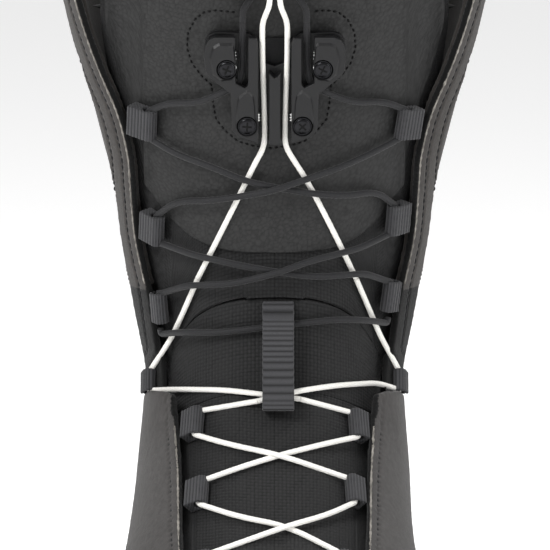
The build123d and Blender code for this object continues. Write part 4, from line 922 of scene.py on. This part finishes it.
def loop_phase(keys):
    O = np.array([HOLES[k][0] for k in keys]) * MM
    X = np.array([HOLES[k][1] for k in keys])
    Z = np.array([HOLES[k][2] for k in keys])
    Y = np.cross(Z, X)

    def f(co):
        which = ((co[:, None, :] - O[None]) ** 2).sum(2).argmin(1)
        r = co - O[which]
        v = (r * Y[which]).sum(1) / MM
        w = (r * Z[which]).sum(1) / MM
        k = -np.sign(Y[which][:, 0] * O[which][:, 0])
        return v * k - w
    return f


ribbed("loops_leg", "lace_loops_upper", 0.30, loop_phase(["UL1", "UL2", "UL3", "UR1", "UR2", "UR3"]), WEB, "cuff")
ribbed("loops_foot", "lace_loops_lower", 0.30, loop_phase(["LL1", "LL2", "LL3", "LR1", "LR2", "LR3"]), WEB, "foot")
ribbed("loops_ankle", "ankle_loops", 0.30, loop_phase(["AL", "AR"]), WEB, None)
ribbed("guide_toe", "toe_lace_guide", 0.35, lambda c: (c[:, 0] / MM), WEB, "foot")
ribbed("keeper", "tongue_keeper", 0.33, lambda c: (c[:, 2] / MM - 0.4 * c[:, 1] / MM), WEB, None, pitch=1.35, amp=0.2)
ribbed("garage", "handle_garage", 0.5, lambda c: (c[:, 0] / MM), WEB_DARK, "cuff")


# ------------------------------------------------------------------ hard parts
def hard(nodes, material, bevel=0.35, seg=3, angle=35):
    for n in nodes:
        o = N[n]
        o.data.materials.clear()
        o.data.materials.append(material)
        if bevel:
            w = o.modifiers.new("weld", "WELD")
            w.merge_threshold = 1e-6
            b = o.modifiers.new("bevel", "BEVEL")
            b.width = bevel * MM
            b.segments = seg
            b.limit_method = "ANGLE"
            b.angle_limit = math.radians(angle)
            b.harden_normals = False
        o.data.polygons.foreach_set("use_smooth", [True] * len(o.data.polygons))
        sm_ = o.modifiers.new("wn", "WEIGHTED_NORMAL")
        sm_.keep_sharp = True


hard(["lock_base"], PLASTIC_DARK, 0.3)
for side in ("left", "right"):
    panel("lock_plate_" + side, "lock_cover_" + side, 0.2, PLASTIC, "cuff", 0.012, 0.0, 0.6, sm=7)
panel("lock_rib", "lock_spine", 0.2, PLASTIC, "cuff", 0.012, 0.0, 0.6, sm=6)

# the lock's own plane, from the first cam's hinge
jt = [j for j in frame["joints"] if j["name"] == "cam_upper_left_swing"][0]
LN_ = Vector(jt["axis"]).normalized()
LX_ = Vector((1, 0, 0))
LW_ = LN_.cross(LX_)
LO_ = Vector(jt["pos_m"]) - LX_ * (-15.0 * MM) - LW_ * (5.1 * MM) - LN_ * (5.85 * MM)


def lkp(u, w, n):
    return LO_ + LX_ * (u * MM) + LW_ * (w * MM) + LN_ * (n * MM)


def raised(name, poly, centre, hole, n0, height, cham, body):
    """a raised bevelled field round a screw on the lock's cover"""
    rings = [[], [], [], [], []]
    m = 72
    for i in range(m):
        a = 2 * math.pi * i / m
        d = (math.cos(a), math.sin(a))
        best = 99
        for (x0, y0), (x1, y1) in zip(poly, poly[1:] + poly[:1]):
            ex, ey = x1 - x0, y1 - y0
            det = d[0] * -ey + d[1] * ex
            if abs(det) < 1e-9:
                continue
            qx, qy = x0 - centre[0], y0 - centre[1]
            t = (qx * -ey + qy * ex) / det
            s = (d[0] * qy - d[1] * qx) / det
            if t > 0 and -1e-6 <= s <= 1 + 1e-6:
                best = min(best, t)
        for k, (rr, nn) in enumerate(((best, n0 - 0.3), (best, n0 + 0.05), (max(best - cham, hole + 0.3), n0 + height), (hole + 0.25, n0 + height), (hole, n0 - 0.2))):
            rings[k].append(lkp(centre[0] + d[0] * rr, centre[1] + d[1] * rr, nn))
    vs = [tuple(v) for r in rings for v in r]
    fs = []
    for k in range(4):
        for i in range(m):
            j = (i + 1) % m
            fs.append((k * m + i, k * m + j, (k + 1) * m + j, (k + 1) * m + i))
    for i in range(m):
        j = (i + 1) % m
        fs.append((4 * m + i, 4 * m + j, j, i))
    me = bpy.data.meshes.new(name)
    me.from_pydata(vs, [], fs)
    o = new_obj(name, me, PLASTIC, shade=False)
    bv = o.modifiers.new("b", "BEVEL")
    bv.width = 0.12 * MM
    bv.segments = 2
    bv.limit_method = "ANGLE"
    bv.angle_limit = math.radians(25)
    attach(o, body)
    return o


def screw_head(name, u, w):
    """a domed head over one screw, with a dark cross standing on it: the cross recess drawn as painted shadow"""
    src_ = frame["nodes"]["lock_screws"]
    top = -99
    for v in src_.data.vertices:
        d = v.co - LO_
        if (d.dot(LX_) / MM - u) ** 2 + (d.dot(LW_) / MM - w) ** 2 < 9:
            top = max(top, d.dot(LN_) / MM)
    m = 64
    prof = [(2.62, -0.25), (2.62, 0.06), (2.3, 0.34), (1.75, 0.5), (1.1, 0.56), (0.5, 0.58)]
    vs = []
    for r_, n_ in prof:
        for i_ in range(m):
            a = 2 * math.pi * i_ / m
            vs.append(tuple(lkp(u + r_ * math.cos(a), w + r_ * math.sin(a), top + n_)))
    fs = [(k * m + i_, k * m + (i_ + 1) % m, (k + 1) * m + (i_ + 1) % m, (k + 1) * m + i_) for k in range(len(prof) - 1) for i_ in range(m)]
    fs.append(tuple((len(prof) - 1) * m + i_ for i_ in range(m)))
    me = bpy.data.meshes.new(name)
    me.from_pydata(vs, [], fs)
    for p in me.polygons:
        p.use_smooth = True
    o = new_obj(name, me, SCREW, shade=False)
    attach(o, "cuff")
    # the recess is not cut: a near-black cross block pokes through the dome top as painted shadow
    a0 = 0.35 + u * 0.05
    out = []
    hw, hl = 0.27, 1.5
    pts = [(hw, hw), (hl, hw), (hl, -hw), (hw, -hw), (hw, -hl), (-hw, -hl), (-hw, -hw), (-hl, -hw), (-hl, hw), (-hw, hw), (-hw, hl), (hw, hl)]
    vs = []
    for n_ in (0.3, 0.66):
        for x_, y_ in pts:
            vs.append(tuple(lkp(u + x_ * math.cos(a0) - y_ * math.sin(a0), w + x_ * math.sin(a0) + y_ * math.cos(a0), top + n_)))
    q = len(pts)
    fs = [tuple(range(q, 2 * q))] + [(k, (k + 1) % q, q + (k + 1) % q, q + k) for k in range(q)]
    me = bpy.data.meshes.new(name + "_cross_shadow")
    me.from_pydata(vs, [], fs)
    o = new_obj(name + "_cross_shadow", me, RECESS_SHADOW, shade=False)
    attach(o, "cuff")


# the lower tongue's side edges lie well under the lace flaps
tl_ = bpy.data.objects["tongue_lower_cloth"]
for v in tl_.data.vertices:
    if abs(v.co.x) > 0.034:
        v.co.x = math.copysign(0.034 + (abs(v.co.x) - 0.034) * 0.15, v.co.x)
        v.co.y += 0.0012

for nm_, u_, w_ in (("ul", -15, 5.1), ("ur", 15, 5.1), ("ll", -8.7, -13.7), ("lr", 8.7, -13.7)):
    screw_head("screw_head_" + nm_, u_, w_)

for sg, side in ((-1, "left"), (1, "right")):
    up_ = [(-20.6, 8.8), (-19.4, 12.6), (-17.6, 13.8), (-12.9, 13.8), (-11.6, 4.6), (-13.4, 1.6), (-17.0, 1.0), (-19.6, 3.2)]
    dn_ = [(-12.3, -9.6), (-11.6, -4.2), (-8.6, -1.6), (-6.6, -3.6), (-6.0, -10.0), (-6.0, -16.4), (-10.4, -16.9), (-12.3, -14.8)]
    f = (lambda p: [(-x, y) for x, y in p]) if sg > 0 else (lambda p: p)
    raised("lock_field_upper_" + side, f(up_), (sg * 15.0, 5.1), 3.05, 9.25, 0.7, 0.8, "cuff")
    raised("lock_field_lower_" + side, f(dn_), (sg * 8.7, -13.7), 3.05, 9.25, 0.55, 0.8, "cuff")
hard(["lock_pad"], RUBBER, 0)
hard(["lock_screws"], SCREW, 0)
hard(["cam_upper_left", "cam_upper_right", "cam_lower_left", "cam_lower_right"], STEEL, 0.12)
hard(["cam_springs"], STEEL, 0)
hard(["pull_handle_black"], HANDLE_K, 0.5)
hard(["pull_handle_white"], HANDLE_W, 0.5)
hard(["outsole"], RUBBER, 0.6)
hard(["midsole"], FOAM, 0.8)
hard(["heel_cushion"], GEL, 0.5)
hard(["shank_plate"], PLASTIC_DARK, 0.3)
hard(["lasting_board", "board_filler"], BOARD, 0.2)

# ------------------------------------------------------------------ seams on the tongue
def edge_z(nodes, x, z0, z1):
    a, b = z0, z1
    n = 60
    last = None
    for i in range(n + 1):
        z = z0 + (z1 - z0) * i / n
        if front(nodes, x, z):
            a, b = (last if last is not None else z), z
            for _ in range(8):
                c = (a + b) / 2
                if front(nodes, x, c):
                    b = c
                else:
                    a = c
            return b
        last = z
    return None


row, row2 = [], []
for x in fr(-44, 44, 1.2):
    e = edge_z(["tongue_overlay"], x, 196, 300)
    if e:
        for off_, rr_ in ((2.2, row), (4.6, row2)):
            h = front(["tongue_overlay"], x, e + off_)
            if h and (not rr_ or (h[0] - rr_[-1][0]).length < 0.012):
                rr_.append(h)
stitches("overlay_stitches", [row], THREAD_DK, "cuff", pitch=2.2, length=1.6, r=0.27, lift=0.15)
# dotted outline sewn round the lock
RING = [(-12.06, 279.77), (-18.33, 280.37), (-22.11, 279.65), (-24.96, 277.31), (-27.2, 273.03), (-27.55, 267.83), (-26, 263.02), (-23.17, 259.23), (-19.87, 256.08), (-19.42, 250.23), (-18.49, 245.04), (-15.34, 241.2), (-11.55, 237.99), (-6.8, 236.55), (-1.01, 235.74), (4.78, 236.56), (9.52, 238), (13.31, 241.23), (16.46, 245.09), (17.39, 250.28), (17.84, 256.13), (21.15, 259.3), (23.97, 263.1), (25.53, 267.91), (25.17, 273.11), (22.94, 277.37), (20.09, 279.69), (16.32, 280.39), (10.06, 279.78)]
pr = []
for (xa, za), (xb, zb) in zip(RING[:-1], RING[1:]):
    for i in range(6):
        t = i / 6
        h = front(["tongue_overlay"], xa + (xb - xa) * t, za + (zb - za) * t)
        if h:
            pr.append(h)
stitches("lock_patch_stitches", [pr], THREAD_DK, "cuff", pitch=1.9, length=1.15, r=0.33, lift=0.12)

# ------------------------------------------------------------------ stitching round the sides and back
def ring_hit(nodes, cx, cy, ang, z):
    d = Vector((math.cos(ang), math.sin(ang), 0))
    h = tree(nodes).ray_cast(Vector((cx, cy, z)) + d * 0.3, -d)
    if h[0] is None:
        return None
    n = h[1].normalized()
    return h[0], (n if n.dot(d) > 0 else -n)


def split(hits, gap=0.014):
    out, row = [], []
    for h in hits:
        if h is None or (row and (h[0] - row[-1][0]).length > gap):
            if len(row) > 3:
                out.append(row)
            row = []
        if h is not None:
            row.append(h)
    if len(row) > 3:
        out.append(row)
    return out


def around(nodes, cx, cy, drop, a0, a1, zlo, zhi, n=160):
    """a line drop mm under the nodes' upper edge, seen from the side all round"""
    hits = []
    for i in range(n + 1):
        a = math.radians(a0 + (a1 - a0) * i / n)
        top = None
        for k in range(61):
            z = zhi + (zlo - zhi) * k / 60
            if ring_hit(nodes, cx, cy, a, z):
                p, q = (zhi + (zlo - zhi) * (k - 1) / 60 if k else z), z
                for _ in range(7):
                    c = (p + q) / 2
                    if ring_hit(nodes, cx, cy, a, c):
                        q = c
                    else:
                        p = c
                top = q
                break
        hits.append(ring_hit(nodes, cx, cy, a, top - drop * MM) if top is not None else None)
    return split(hits)


rows = around(["toe_cap"], 0, -0.085, 2.4, 182, 358, 0.03, 0.075) + around(["toe_cap"], 0, -0.085, 4.8, 182, 358, 0.03, 0.075)
stitches("toe_rand_stitches", rows, THREAD, "foot", lift=0.1)
rows = around(["heel_counter"], 0, 0.085, 2.4, -20, 200, 0.03, 0.10) + around(["heel_counter"], 0, 0.085, 4.8, -20, 200, 0.03, 0.10)
stitches("heel_rand_stitches", rows, THREAD, "foot", lift=0.1)
rows = []
for nd in ("cuff_shell_left", "cuff_shell_right"):
    lo_, hi_ = (92, 228) if nd.endswith("left") else (-48, 88)
    for dr in (3.2, 5.8):
        rows += around([nd], 0, 0.065, dr, lo_, hi_, 0.26, 0.30, 110)
stitches("collar_stitches", rows, THREAD, "cuff", lift=0.25)
rows = []
lo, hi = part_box("back_stay")
for sg in (-1, 1):
    row = []
    for z in fr(lo.z / MM + 2, hi.z / MM - 2, 1.5):
        e = None
        for k in range(60):
            x = sg * (30 - 0.5 * k)
            h = tree(["back_stay"]).ray_cast(Vector((x * MM, 0.3, z * MM)), Vector((0, -1, 0)))
            if h[0] is not None:
                e = x
                break
        if e is None:
            row.append(None)
            continue
        h = tree(["back_stay"]).ray_cast(Vector(((e - sg * 2.2) * MM, 0.3, z * MM)), Vector((0, -1, 0)))
        row.append((h[0], h[1] if h[1].y > 0 else -h[1]) if h[0] is not None else None)
    rows += split(row)
stitches("back_strip_stitches", rows, THREAD, "cuff", lift=0.1)
# seams where the toe leather meets the side panels
rows = []
for nd, sg in (("quarter_medial", 1), ("quarter_lateral", -1)):
    t = tree([nd])
    for off_ in (2.2, 4.8):
        row = []
        for z in fr(34, 96, 1.5):
            e = None
            for k in range(140):
                y = -0.150 + 0.0006 * k
                h = t.ray_cast(Vector((sg * 0.3, y, z * MM)), Vector((-sg, 0, 0)))
                if h[0] is not None and h[0].x * sg > 0:
                    e = y
                    break
            if e is None:
                row.append(None)
                continue
            h = t.ray_cast(Vector((sg * 0.3, e + off_ * MM, z * MM)), Vector((-sg, 0, 0)))
            row.append((h[0], h[1] if h[1].x * sg > 0 else -h[1]) if h[0] is not None else None)
        rows += split(row)
stitches("toe_seam_stitches", rows, THREAD, "foot", lift=0.1)

# ------------------------------------------------------------------ stage
floor = bpy.data.meshes.new("floor")
floor.from_pydata([(-6, -6, 0), (6, -6, 0), (6, 6, 0), (-6, 6, 0)], [], [(0, 1, 2, 3)])
fo = bpy.data.objects.new("floor", floor)
COL.objects.link(fo)
FLOOR = M("floor_pale", (0.88, 0.88, 0.88), 0.9, 0.1)
fb_ = [n for n in FLOOR.node_tree.nodes if n.type == "BSDF_PRINCIPLED"][0]
fb_.inputs["Emission Color"].default_value = (1, 1, 1, 1)
fb_.inputs["Emission Strength"].default_value = 0.35
floor.materials.append(FLOOR)
bpy.context.scene.view_settings.view_transform = "Standard"
world = bpy.data.worlds.new("w")
bpy.context.scene.world = world
world.use_nodes = True
wn = world.node_tree
bg = wn.nodes["Background"]
bg.inputs[0].default_value = (1, 1, 1, 1)
lp_ = wn.nodes.new("ShaderNodeLightPath")
mr = wn.nodes.new("ShaderNodeMapRange")
mr.inputs["To Min"].default_value = 0.50
mr.inputs["To Max"].default_value = 1.0
wn.links.new(lp_.outputs["Is Camera Ray"], mr.inputs["Value"])
wn.links.new(mr.outputs[0], bg.inputs[1])


def area(name, loc, target, size, power, size_y=None):
    l = bpy.data.lights.new(name, "AREA")
    l.shape = "RECTANGLE"
    l.size = size
    l.size_y = size_y or size
    l.energy = power
    o = bpy.data.objects.new(name, l)
    COL.objects.link(o)
    o.location = loc
    d = Vector(target) - Vector(loc)
    o.rotation_euler = d.to_track_quat("-Z", "Y").to_euler()
    return o


mid = (0, 0.0, 0.2)
area("key", (-1.1, -1.3, 1.5), mid, 0.7, 26)
area("fill", (1.5, -1.0, 0.7), mid, 1.0, 9)
area("top", (0.1, 0.2, 1.7), mid, 0.9, 14)

cam = bpy.data.cameras.new("camera")
co_ = bpy.data.objects.new("camera", cam)
COL.objects.link(co_)
tgt = Vector((0.00016, 0.010843, 0.1935))
el = math.radians(8.0)
co_.location = tgt + Vector((0, -math.cos(el), math.sin(el))) * 1.6
co_.rotation_euler = (tgt - co_.location).to_track_quat("-Z", "Y").to_euler()
cam.sensor_width = 36.0
cam.lens = 36.0 * 1.6 / 0.176
cam.clip_start = 0.05
cam.clip_end = 50
bpy.context.scene.camera = co_
